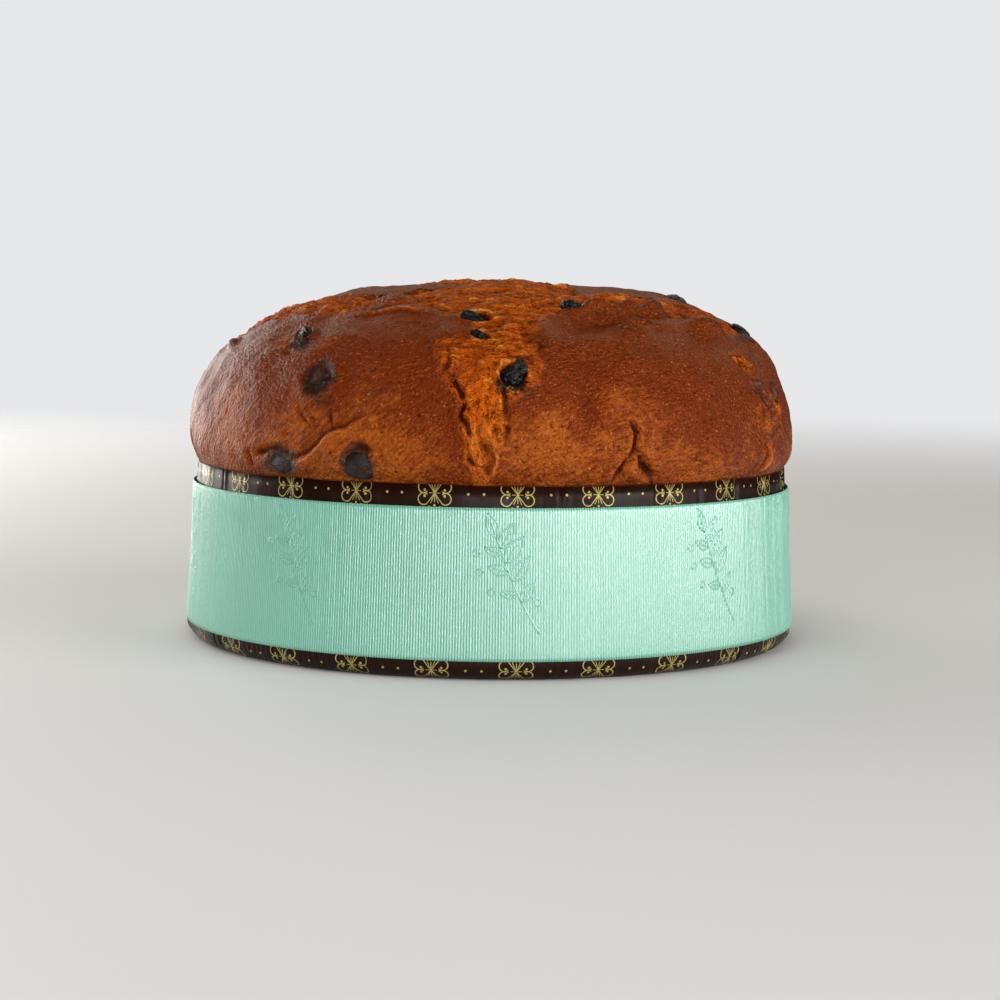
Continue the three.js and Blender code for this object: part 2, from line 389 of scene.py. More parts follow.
loafShape = {
    "gridSize": 300,
    "frontFiner": 0.15,  # share by which the grid is drawn towards the front
    "rimFiner": 0.12,  # share by which rows are closer at the rim than at the top
    "radius": 104.5,
    "widestHeight": 69.0,
    "top": 121.6,
    "squareness": 2.39,
    "squarenessRight": 0.22,
    "lipHeight": 60.5,
    "lipOverhang": 3.0,
    "lipPower": 2.2,
    # size, seed and height of the skin's unevenness
    "swells": [(24.0, 31, 0.55), (8.0, 32, 0.36), (2.6, 33, 0.13)],
    "lumpsPastTop": 1.5,  # how far lumps may stand over the CAD's top
    "rimSeat": 5.0,  # mm above the rim where the reliefs have faded out
    "wobble": 0.6,  # shift of the drawn cracks, folds and burns
    "wobbleSize": 4.5,
    "darkTo": 86,  # mm down that the bake stays dark
    "paleFrom": 134,
    "grainSlant": 0.9,
    "grainWay": (0.643, -0.766),  # the way across that the grain slants, along X and Y
    # hidden rings inside the mould, as (radius, height)
    "skirt": [(100.6, 59.0), (100.7, 56.0), (103.4, 9.0), (101.8, 3.2), (97.5, 2.0)],
}

# Outlines of torn crumb, as (azimuth in degrees, millimetres down the crust from the top). Where one
# lies inside another it is skin again.
tornOutlines = [
    [
        # front tear, left edge down
        (-13, 70.5), (-9, 72.5), (-6, 75), (-4.4, 81), (-5, 86), (-7.5, 89), (-11.7, 90.5), (-11.6, 94.9),
        (-10, 99), (-9, 104), (-7.5, 108), (-5.3, 113.7), (-4, 118), (-4.4, 124.6), (-4.0, 129), (-3.0, 134),
        (-2.4, 145),
        # front tear, right edge up
        (1.0, 145), (0.5, 140), (0.8, 135.6), (0.4, 132), (0.2, 127.2), (2.0, 126), (2.8, 121.2),
        (2.0, 117.8), (3.2, 113), (6.5, 110), (8.6, 105), (9.2, 99.7), (8.6, 94), (8.5, 89.5), (10.6, 80.2),
        (13, 72), (18.6, 71.6),
        # right arm, outwards along the front lobe
        (21, 67.5), (28.4, 63), (32, 65), (37.4, 64.5), (46.2, 64.6), (52, 66), (50.5, 74), (53, 79),
        (56.5, 81), (59.5, 86), (64, 88.5),
        # right arm, back along the other lobe
        (74, 86), (82, 74), (72, 64), (62, 57), (52, 51.4), (42.6, 51), (36, 49), (47, 37), (45.6, 31),
        (62, 25), (86, 22),
        # back tear, down and up
        (108, 25), (130, 34), (146, 46), (158, 64), (165, 84), (171, 104), (174, 122), (176, 145),
        (180, 145), (-179, 121), (-174, 101), (-168, 82), (-158, 62), (-142, 46), (-120, 36), (-88, 27),
        # left arm, outwards along the back lobe
        (-40, 28), (-16, 27), (-31, 38), (-34, 47), (-34, 54), (-43, 54.4), (-52, 55), (-66, 55), (-86, 62),
        (-93, 84), (-96, 104), (-95, 125), (-95, 145),
        # left arm, back along the front lobe
        (-92, 145), (-91, 126), (-88, 108), (-80, 90), (-71, 79.5), (-64, 79), (-59.2, 74.4), (-50.1, 76.8),
        (-44.8, 74.7), (-38, 72), (-33, 71.5), (-28.3, 66.6), (-24, 65), (-18.4, 66.4),
    ],
    # strip of skin left standing in the left arm
    [(-37.6, 69), (-38.7, 62.2), (-37, 56.8), (-32.3, 57.2), (-26, 59), (-23.5, 62.5), (-27, 62.6),
     (-31.5, 63), (-33.5, 67), (-34.4, 70)],
    # smaller tears in the skin
    [(54.5, 98), (58, 95.5), (62, 97), (62.5, 103), (61.5, 106.5), (58.8, 107), (56, 103)],
    [(62, 114), (66, 113), (68.5, 117), (67, 123), (63.5, 121)],
    [(32.5, 78.5), (38, 77.5), (40, 80.5), (36, 82)],
    [(-52, 91), (-49, 90), (-47.5, 93.5), (-50.5, 95)],
    [(-37.5, 91), (-34.5, 90), (-34, 92.5), (-36.5, 94)],
]

tornShape = {
    "ragged": 1.0,
    "raggedSize": 5.0,
    "raggedFine": 0.45,
    "raggedFineSize": 2.6,
    "highFrom": 80,  # mm down, where tears start to narrow into cracks
    "highTo": 108,
    "step": 1.2,  # how far the crumb lies under the lobes' skin at the edge
    "moundHeight": 2.2,
    "moundReach": 11.0,
    "lipHeight": 0.8,
    "lipWidth": 4.0,
    "overhang": 0.6,
    "overhangWidth": 1.4,
    "overhangFrom": 20,  # mm down; nearer the top the skin doesn't hang over
    "overhangFull": 34,
    "fibre": 0.50,
    "flakes": 0.85,
}

# Rises and hollows: azimuth, down, half size across and down, turn, height (all mm or degrees).
swellings = [
    (-33, 107, 8.5, 8.5, 0, 1.3),      # raisin in the skin, on the left of the front
    (29, 67, 7.0, 2.2, -8, 2.4),       # curled lip at the start of the right lobe
    (10, 100, 9.0, 4.0, 50, 0.8),
    (57, 84.5, 7.5, 4.6, 20, 5.0),     # raisin under the skin, right shoulder
    (28, 75, 9.0, 2.5, 0, -1.0),
    (59, 109, 2.6, 2.4, 0, 1.8),       # scorched lumps on the right
    (61.5, 114, 2.2, 2.6, 0, 1.6),
    (60, 123, 3.0, 2.2, 0, 2.0),
    (64, 125, 2.4, 2.0, 0, 1.8),
    (49.5, 69, 4.6, 2.8, 0, 3.8),
    (40.5, 68, 3.8, 2.4, 0, 3.4),
    (44, 57, 15.0, 5.0, 0, 1.7),       # crumb that bulges in the right arm
    (46, 33, 4.0, 3.0, 0, 1.6),        # tip of the lobe behind it
    (19, 98, 5.0, 3.0, 30, -0.9),
    (30, 99, 9.0, 4.0, 0, 0.9),
    (33, 118, 7.0, 6.0, 0, 0.9),
    (52, 100, 7.0, 7.0, 0, 0.9),
    (62, 120, 3.2, 3.2, 0, 1.3),
    (57, 116, 2.6, 3.0, 0, 1.2),
    (-30, 90, 9.0, 4.0, 20, 0.8),
    (-20, 100, 8.0, 5.0, -20, 0.8),
    (-52, 104, 10.0, 4.0, 20, 0.7),
    (-32, 59, 7.0, 4.0, 20, 1.6),      # crest of the strip in the left arm
    (32, 83, 6.5, 3.6, 10, 2.6),
    (32, 84.0, 3.0, 1.3, 10, -1.6),
    (37, 70, 2.4, 2.0, 0, 1.4),
    (45, 73, 6.0, 2.5, 10, -1.0),
    (44, 80, 9.0, 3.6, 10, 1.0),
    (14, 127, 1.7, 1.7, 0, 0.9),
    (7, 114, 8.0, 9.0, -20, 1.3),      # either side of the soft dent
    (22, 117, 10.5, 9.0, 10, 2.2),
    (16.5, 113, 3.6, 9.0, -6, -2.0),
    (25.5, 138, 3.6, 5.0, 0, 2.2),     # toe between the two gashes
    (-73, 95, 3.2, 2.6, 0, 2.6),
    (100, 54, 24.0, 24.0, 0, 1.5),     # the sides are not quite round
    (92, 111, 22.0, 10.0, 0, -2.8),
    (-90, 90, 16.0, 11.0, 0, -0.4),
    (84, 60, 16.0, 9.0, 0, 1.3),
    (-80, 46, 15.0, 11.0, 0, 1.3),
    (-15, 121, 14.0, 15.0, 0, 1.4),
    (-27, 131, 7.0, 7.0, -35, 1.5),    # flap under the crease
    (-46, 118, 17.0, 15.0, 0, 1.2),
    (40, 112, 20.0, 14.0, 0, 1.4),
    (46, 128, 11.0, 9.0, 30, 1.0),
    (12, 86, 3.5, 9.0, 0, 1.2),        # shoulder of the right lobe along the tear
    (24, 89, 16.0, 5.0, 0, 1.4),
    (25, 78, 13.0, 4.5, 0, -1.3),
    (-9.5, 84, 5.5, 6.0, 20, 1.5),     # corner of the left lobe that hangs over the tear
    (-13, 92, 5.0, 5.0, 0, -0.9),
    (100, 100, 22.0, 16.0, 0, 1.6),
    (128, 118, 15.0, 12.0, 0, 1.5),
    (150, 96, 16.0, 14.0, 0, 1.3),
    (-104, 112, 18.0, 16.0, 0, 1.5),
    (-130, 94, 17.0, 14.0, 0, 1.7),
    (-150, 122, 14.0, 10.0, 0, 1.4),
]

# Cracks: depth, half width, then the line as (azimuth, down).
cracks = [
    (2.0, 0.75, [(1.6, 108), (3.0, 113), (2.4, 118), (3.4, 122), (2.2, 127)]),
    (0.8, 0.5, [(2.0, 126.5), (5.2, 127)]),
    (1.4, 0.7, [(-3.6, 127), (-3.4, 131), (-2.2, 134)]),
    (1.9, 0.8, [(-7.6, 105), (-5.4, 110), (-4.6, 114.5), (-5.0, 118), (-3.8, 122), (-2.8, 127)]),
    (0.9, 0.6, [(-9.0, 91), (-8.2, 97), (-9.0, 103)]),
    (1.0, 0.7, [(9.6, 86), (10.2, 91), (8.6, 95)]),
    (2.6, 1.0, [(24.3, 119), (25.6, 124), (25.2, 128), (24.0, 131)]),
    (2.4, 1.1, [(23.8, 130), (22.9, 134), (22.0, 138), (21.0, 143)]),
    (2.4, 1.7, [(25.6, 128), (26.8, 132), (28.8, 136), (30.0, 140), (30.3, 144)]),
    (0.9, 0.8, [(39.5, 117), (40.2, 121), (39.3, 125)]),
    (1.0, 0.8, [(39.3, 128), (38.6, 131), (38.8, 133)]),
    (0.7, 0.8, [(43.5, 129), (42.0, 132), (40.0, 134.5), (37.0, 137)]),
    (0.9, 0.8, [(59.0, 127), (60.4, 132), (58.6, 136), (57.0, 139)]),
    (0.8, 0.8, [(56.5, 134), (55.2, 138), (54.6, 141)]),
    (2.2, 1.6, [(71.5, 138), (72.6, 140), (72.8, 144)]),
    (0.9, 0.8, [(-29.5, 116), (-28.6, 120), (-27.8, 123)]),
    (0.8, 0.8, [(-33.5, 119), (-31.0, 122)]),
    (0.8, 0.7, [(-36, 115), (-34.5, 120), (-32, 124)]),
    (2.6, 1.4, [(-45.5, 132), (-42.0, 130.5), (-37.5, 131), (-34.5, 132.5)]),
    (2.4, 1.4, [(-25.6, 131), (-22.8, 128), (-20.2, 129.5)]),
    (1.0, 1.0, [(-47.5, 131), (-47.2, 135), (-47.4, 141)]),
    (0.8, 0.8, [(-47.5, 96), (-44.5, 97), (-42.5, 95.5)]),
    (1.6, 1.0, [(56.5, 108), (59.5, 113), (62, 119), (60, 124)]),
    (1.4, 0.9, [(63, 117), (66, 121), (69, 120)]),
    (2.0, 1.0, [(96, 96), (99, 102), (97, 108), (100, 114)]),
    (1.7, 1.1, [(118, 128), (121, 133), (120, 139), (122, 144)]),
    (2.2, 1.1, [(141, 104), (144, 110), (143, 117), (147, 123)]),
    (1.5, 1.0, [(163, 126), (161, 131), (164, 137), (163, 144)]),
    (1.9, 1.0, [(-160, 110), (-157, 117), (-159, 124)]),
    (1.6, 1.0, [(-124, 124), (-121, 129), (-122, 136), (-120, 144)]),
    (1.4, 1.0, [(-97, 130), (-95, 135), (-96, 144)]),
    (1.2, 0.9, [(-76, 128), (-74, 133), (-75, 138)]),
]

# Folds, where the crust on the right of the line (looking along it) stands over the other side:
# height, reach, then the line.
folds = [
    (1.9, 6.0, [(-41.5, 133), (-36.5, 133.5), (-33, 131.5), (-30, 127), (-28.6, 124), (-25.5, 122.3),
                (-20, 117)]),
    (1.3, 6.0, [(-1.2, 142), (-0.4, 137), (0.9, 131), (0.2, 127.5), (-1.6, 126)]),
    (2.4, 3.5, [(20.5, 69), (24, 65.5), (28.4, 63.8), (33, 66), (37, 70)]),
    (0.9, 4.0, [(-16, 73), (-18, 71), (-25, 69.5), (-32, 73), (-38, 77)]),
    (1.0, 6.0, [(58, 139), (60.8, 133), (60, 128)]),
    (1.2, 7.0, [(112, 112), (118, 108), (126, 110), (132, 116)]),
    (1.3, 8.0, [(-142, 118), (-136, 112), (-126, 112), (-118, 118)]),
]

# Burnt places: azimuth, down, half size across, half size down, turn, strength.
burns = [
    (3.9, 106, 5.2, 5.2, 0, 0.9),
    (6.4, 100, 3.4, 3.4, 0, 0.6),
    (5.4, 110, 4.5, 3.6, 0, 0.45),
    (-33, 107, 6.4, 6.4, 0, 0.8),
    (-31, 113, 6.0, 4.0, 0, 0.5),
    (-44, 93, 5.4, 3.4, 0, 0.7),
    (-45, 85, 9.0, 1.8, 8, 0.5),
    (58, 84, 7.0, 4.0, 20, 0.55),
    (49, 69.5, 5.0, 2.6, 0, 0.4),
    (40.5, 68.5, 3.6, 2.0, 0, 0.36),
    (32, 83, 5.0, 2.6, 10, 0.34),
    (58.5, 110, 4.2, 5.0, 20, 0.50),
    (61, 117, 2.8, 6.0, 0, 0.46),
    (62, 124, 4.6, 3.2, 0, 0.46),
    (-48, 64, 12.0, 5.0, 0, 0.36),
    (-28, 50, 10.0, 4.0, 0, 0.34),
    (-8, 100, 3.0, 8.0, 0, 0.40),
    (-39, 134, 10.0, 3.2, 0, 0.85),
    (-22.5, 133, 6.5, 5.0, 0, 0.7),
    (24, 66, 4.0, 2.6, 0, 0.5),
    (30, 63, 7.0, 1.4, 10, 0.45),
    (-72, 95, 3.6, 2.6, 0, 0.5),
    (78, 66, 5.0, 4.0, 0, 0.4),
    (70, 90, 5.0, 4.0, 0, 0.5),
    (104, 120, 5.5, 4.5, 0, 0.6),
    (128, 96, 5.0, 5.0, 0, 0.7),
    (150, 133, 6.0, 4.0, 0, 0.6),
    (-139, 124, 6.0, 5.0, 0, 0.8),
    (-115, 99, 5.0, 4.6, 0, 0.6),
    (170, 106, 5.0, 5.0, 0, 0.6),
]


def crustProfile(power, steps=1600):
    # the superellipse from the top to the widest ring, then the lip in to the rim, as radius, height and
    # length
    s = loafShape
    wide, lip = s["widestHeight"], s["lipHeight"]
    angle = np.linspace(math.pi / 2, 0, steps)
    drop = np.linspace(0, 1, steps // 5)[1:]
    radius = np.concatenate([s["radius"] * np.cos(angle) ** (2 / power),
                             s["radius"] - s["lipOverhang"] * drop ** s["lipPower"]])
    height = np.concatenate([wide + (s["top"] - wide) * np.sin(angle) ** (2 / power),
                             wide - (wide - lip) * drop])
    length = np.concatenate([[0], np.cumsum(np.hypot(np.diff(radius), np.diff(height)))])
    return radius, height, length


crustLength = crustProfile(loafShape["squareness"])[2][-1]


def crustPoint(azimuth, down):
    # the smooth crust at an azimuth (radians) and a length down from the top: between the plain
    # profile and the squarer one by the sine of the azimuth on the right side
    plain = crustProfile(loafShape["squareness"])
    square = crustProfile(loafShape["squareness"] + loafShape["squarenessRight"])
    share = down / crustLength
    side = np.clip(np.sin(azimuth), 0, 1)
    radius = (1 - side) * np.interp(share * plain[2][-1], plain[2], plain[0])
    radius = radius + side * np.interp(share * square[2][-1], square[2], square[0])
    height = (1 - side) * np.interp(share * plain[2][-1], plain[2], plain[1])
    height = height + side * np.interp(share * square[2][-1], square[2], square[1])
    return around(azimuth, radius, height)


def flatMap(azimuth, down):
    # the crust laid flat: the length down from the top as a radius, front towards -Y
    return np.stack(np.broadcast_arrays(down * np.sin(azimuth), -down * np.cos(azimuth)), -1)


def onMap(marks):
    # marks given in degrees and millimetres, as places on the flat map
    marks = np.array(marks, float)
    return flatMap(np.radians(marks[:, 0]), marks[:, 1])


def gridNormals(points):
    # cross product of the differences along the two ways of the grid, turned outwards
    normal = unit(np.cross(np.gradient(points, axis=0), np.gradient(points, axis=1)))
    return normal * np.sign(normal[normal.shape[0] // 2, normal.shape[1] // 2, 2])


def ovalFall(place, azimuth, down, halfAcross, halfDown, turn):
    # bell of the distance from a mark, measured across and down from it in turned and stretched directions
    a, t = math.radians(azimuth), math.radians(turn)
    offset = place - flatMap(np.array(a), np.array(float(down)))
    across = offset[..., 0] * math.cos(a) + offset[..., 1] * math.sin(a)
    below = offset[..., 0] * math.sin(a) - offset[..., 1] * math.cos(a)
    u = (across * math.cos(t) + below * math.sin(t)) / halfAcross
    v = (below * math.cos(t) - across * math.sin(t)) / halfDown
    return np.exp(-(u**2 + v**2))


def strokeDistance(place, line, closed=False):
    # distance to a line on the map, how far along it that is from 0 to 1, the side (+ on the right),
    # and the direction away from the line
    knots = onMap(line)
    if closed:
        knots = np.concatenate([knots, knots[:1]])
    spans = np.linalg.norm(np.diff(knots, axis=0), axis=1)
    at = np.concatenate([[0], np.cumsum(spans)]) / spans.sum()
    best = np.full(place.shape[:-1], 1e9)
    along, side = np.zeros_like(best), np.zeros_like(best)
    away = np.zeros_like(place)
    for index in range(len(spans)):
        a, ray = knots[index], knots[index + 1] - knots[index]
        t = np.clip(((place - a) @ ray) / (ray @ ray), 0, 1)
        offset = place - (a + t[..., None] * ray)
        distance = np.linalg.norm(offset, axis=-1)
        nearer = distance < best
        best = np.where(nearer, distance, best)
        along = np.where(nearer, at[index] + t * (at[index + 1] - at[index]), along)
        side = np.where(nearer, (offset[..., 0] * ray[1] - offset[..., 1] * ray[0]) / spans[index], side)
        away = np.where(nearer[..., None], offset, away)
    return best, along, side, away / (best[..., None] + 1e-9)


def insideOutlines(place, outlines):
    # even-odd rule over all the outlines, and the distance to the nearest with its direction
    x, y = place[..., 0], place[..., 1]
    within = np.zeros(x.shape, bool)
    best, away = np.full(x.shape, 1e9), np.zeros_like(place)
    for outline in outlines:
        knots = onMap(outline)
        for (ax, ay), (bx, by) in zip(knots, np.roll(knots, -1, axis=0)):
            if ay != by:
                within ^= ((ay > y) != (by > y)) & (x < (bx - ax) * (y - ay) / (by - ay) + ax)
        distance, along, side, offset = strokeDistance(place, outline, closed=True)
        nearer = distance < best
        best = np.where(nearer, distance, best)
        away = np.where(nearer[..., None], offset, away)
    return np.where(within, best, -best), np.where(within[..., None], away, -away)


def softened(values, times):
    # each point moved to the mean of its neighbours and itself, a number of times
    for _ in range(times):
        padded = np.pad(values, 1, mode="edge")
        values = (padded[:-2, 1:-1] + padded[2:, 1:-1] + padded[1:-1, :-2] + padded[1:-1, 2:] + values) / 5
    return values


def squareToDisc(size, frontFiner):
    # concentric map of a square grid onto a disc: the larger coordinate is the radius and the ratio
    # of the two gives the angle in each quarter; gives the radius from 0 to 1 and the azimuth
    line = np.linspace(-1, 1, size)
    p, q = np.meshgrid(line, line - frontFiner * (1 - line**2), indexing="ij")
    flat = np.abs(p) > np.abs(q)
    safeP, safeQ = np.where(p == 0, 1, p), np.where(q == 0, 1, q)
    reach = np.where(flat, p, q)
    angle = np.where(flat, math.pi / 4 * q / safeP, math.pi / 2 - math.pi / 4 * p / safeQ)
    x, y = reach * np.cos(angle), reach * np.sin(angle)
    return np.hypot(x, y), np.arctan2(x, -y)


raisinShape = {
    "rows": 44,
    "columns": 60,
    "folds": 0.28,
    "fineFolds": 0.08,
    "uneven": 0.18,
    "plump": 1.12,
    "flat": 0.80,  # share of the height they are pressed to
    "depth": 0.6,  # mm that most are sunk deeper than in the CAD
    # how much of the skin has baked onto these
    "grownIn": {"raisin_05": 1.0, "raisin_08": 0.9, "raisin_09": 0.5, "raisin_10": 0.3, "raisin_11": 0.3},
    "smoothness": {"raisin_06": 0.45, "raisin_07": 0.35, "raisin_10": 0.15, "raisin_11": 0.15},
    "wider": {"raisin_01": (1.5, 1.0, 0.8), "raisin_02": (1.3, 0.7, 0.8), "raisin_03": (0.82, 0.82, 1.0),
              "raisin_04": (0.75, 1.0, 1.1), "raisin_06": (1.4, 1.3, 1.1), "raisin_07": (1.35, 1.35, 1.1),
              "raisin_05": (1.12, 1.16, 1.0), "raisin_10": (1.05, 1.15, 1.0), "raisin_11": (1.45, 1.05, 1.0)},
    "bulge": {"raisin_03": ((0.62, -0.25, 0.74), 0.95)},  # a lobe of its own: direction and height
    "deeper": {"raisin_01": 1.0, "raisin_02": 1.2, "raisin_04": 0.6, "raisin_06": -0.2, "raisin_07": 0.1,
               "raisin_08": 1.4, "raisin_10": 0.1, "raisin_11": 0.1},
}

raisinSeats = {
    # a raisin that the skin has grown over, and one that lies bare
    "grown": {"levelTo": 1.6, "pit": 0.2, "collar": 1.0, "collarAt": 1.1, "shade": 0.5, "burn": 0.6,
              "burnReach": 0.35},
    "bare": {"levelTo": 2.1, "pit": 1.3, "collar": 0.7, "collarAt": 1.5, "shade": 0.85, "burn": 0.30,
             "burnReach": 0.5},
}


def raisinFrame(name):
    # middle, three directions (longest first) and half sizes of a CAD raisin, from its corners
    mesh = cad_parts[name].data
    corners = np.zeros(len(mesh.vertices) * 3)
    mesh.vertices.foreach_get("co", corners)
    corners = np.unique(np.round(corners.reshape(-1, 3) / mm, 4), axis=0)
    middle = corners.mean(0)
    directions = np.linalg.svd(corners - middle)[2]
    half = np.abs((corners - middle) @ directions.T).max(0)
    return middle, directions, half * raisinShape["wider"].get(name, (1, 1, 1))


def noiseShift(points, size, seed, octaves):
    # two rough noises side by side, to shift places on the map
    return np.stack([roughNoise(points, size, seed + k, octaves) for k in (0, 1)], -1)


def crumbRelief(smooth, down, inside, sharp, high, shift):
    # torn crumb: a step down from the skin, a mound that fills up by one less the exponential of the distance
    # in, fibres as ridges of stretched noise, and flakes as the whole steps of a noise with short slopes
    s = tornShape
    fibreSpace = np.stack([smooth[..., 0] / (8 * high + 3.0 * (1 - high)), smooth[..., 1] / 3.0,
                           down / (2.0 * high + 5.0 * (1 - high))], -1)
    warp = 0.5 * roughNoise(smooth, 5.0, 20, 2)[..., None]
    fibre = 1 - 2 * np.abs(latticeNoise(fibreSpace + warp, 1.0, 21))
    fibreFine = 1 - 2 * np.abs(latticeNoise(fibreSpace * 2.1 + 2 * warp, 1.0, 22))
    flakes = roughNoise(smooth + 2.5 * shift[..., [0, 0, 1]], 7.0, 23, 3) * 1.8
    steps = np.floor(flakes) + smoothStep(flakes - np.floor(flakes), 0.82, 1.0)
    fullness = 1 - np.exp(-np.maximum(inside, 0) / s["moundReach"])
    crumb = s["moundHeight"] * fullness - s["step"] * (0.35 + 0.9 * sharp)
    crumb = crumb + s["fibre"] * fibre + 0.45 * s["fibre"] * fibreFine
    return crumb + s["flakes"] * (0.15 + 0.20 * high) * steps


def skinRelief(smooth, inside):
    # skin: a lip that is a bell of the distance to the tear, and swells of three sizes
    uneven = 0.65 + 0.6 * latticeNoise(smooth, 11.0, 24)
    skin = tornShape["lipHeight"] * uneven * bell(inside, tornShape["lipWidth"])
    for size, seed, height in loafShape["swells"]:
        skin = skin + height * roughNoise(smooth, size, seed, 2)
    return skin


def cutCracks(drawn, broken, rise, paintedShade):
    # each crack is a bell of the distance to its line, tapered towards both ends, with a low ridge on either
    # side; noise breaks up the shallow ones, and painted shade fills each groove
    for depth, halfWidth, line in cracks:
        distance, along = strokeDistance(drawn, line)[:2]
        taper = np.sqrt(np.clip(4 * along * (1 - along), 0, 1))
        width = halfWidth * (0.5 + 0.5 * taper)
        groove = bell(distance, width) * taper * np.maximum(broken, smoothStep(depth, 1.9, 2.4))
        ridge = 0.25 * depth * bell(distance - 2.6 * halfWidth, 1.5 * halfWidth) * taper
        rise = rise - depth * groove + ridge
        paintedShade = np.maximum(paintedShade, groove**2 * min(1.0, depth / 2.4))
    return rise, paintedShade


def raiseFolds(drawn, rise, paintedShade, rimTintAndFoldHighlight):
    # each fold rises on one side of its line by a bell of the distance, and dips more narrowly on the other;
    # painted shade runs along the low side and a painted highlight along the raised side
    for amount, reach, line in folds:
        distance, along, side = strokeDistance(drawn, line)[:3]
        taper = np.clip(4 * along * (1 - along), 0, 1) ** 0.6
        over = smoothStep(side, -0.6, 0.6) * bell(distance, reach) * taper
        under = smoothStep(-side, -0.6, 0.6) * bell(distance, reach * 0.25) * taper
        rise = rise + amount * over - 0.35 * amount * under
        near = (distance < 8) * taper
        paintedShade = np.maximum(paintedShade, 0.35 * bell(side + 0.7, 0.5) * near)
        rimTintAndFoldHighlight = np.maximum(rimTintAndFoldHighlight, bell(side - 0.8, 0.8) * near)
    return rise, paintedShade, rimTintAndFoldHighlight


def seatRaisins(smooth, rise, paintedShade):
    # each raisin sits in a pit with a raised collar, and the crust is level around it, with a ring of painted
    # shade and a scorched ring at its edge; size is the distance from its middle, counted in its half sizes
    burnt = np.zeros_like(rise)
    for name in raisinNames:
        middle, directions, half = raisinFrame(name)
        seat = raisinSeats["grown" if name in raisinShape["grownIn"] else "bare"]
        size = np.linalg.norm((smooth - middle) @ directions.T / half, axis=-1)
        size = size + 0.14 * latticeNoise(smooth, 2.5, 44)
        rise = rise * (0.15 + 0.85 * smoothStep(size, 0.9, seat["levelTo"]))
        rise = rise - seat["pit"] * smoothStep(1.3 - size, 0, 0.45)
        rise = rise + seat["collar"] * bell(size - seat["collarAt"], 0.34)
        paintedShade = np.maximum(paintedShade, bell(size - 1.0, 0.18) * seat["shade"])
        burnt = np.maximum(burnt, seat["burn"] * bell(size - 1.0, seat["burnReach"]))
    return rise, paintedShade, burnt


def leanWay(smooth, normal, azimuth, inward):
    # the map's direction into a tear as a direction along the crust: its share down the crust, and across
    level = np.zeros_like(azimuth)
    outward = unit(np.stack([smooth[..., 0], smooth[..., 1], level], -1))
    downWay = unit(outward - normal * (outward * normal).sum(-1, keepdims=True))
    acrossWay = np.stack([np.cos(azimuth), np.sin(azimuth), level], -1)
    leanDown = inward[..., 0] * np.sin(azimuth) - inward[..., 1] * np.cos(azimuth)
    leanAcross = inward[..., 0] * np.cos(azimuth) + inward[..., 1] * np.sin(azimuth)
    return leanDown[..., None] * downWay + leanAcross[..., None] * acrossWay


def closeBelow(crust):
    # hidden rings inside the mould, on the azimuths of the crust's rim, each joined to the one above
    size = crust.shape[0]
    index = np.arange(size * size).reshape(size, size)
    rim = np.concatenate([index[0, :-1], index[:-1, -1], index[-1, :0:-1], index[:0:-1, 0]])
    points = crust.reshape(-1, 3)
    azimuth = np.arctan2(points[rim, 0], -points[rim, 1])
    skirt = [around(azimuth, radius, height) for radius, height in loafShape["skirt"]]
    rings = [rim] + [size * size + row * len(rim) + np.arange(len(rim)) for row in range(len(skirt))]
    links = [np.stack([upper, np.roll(upper, -1), np.roll(lower, -1), lower], -1)
             for upper, lower in zip(rings, rings[1:])]
    quads = np.concatenate([gridQuads(size, size)[:, ::-1]] + links)
    return np.concatenate([points] + skirt), [quads, rings[-1]]


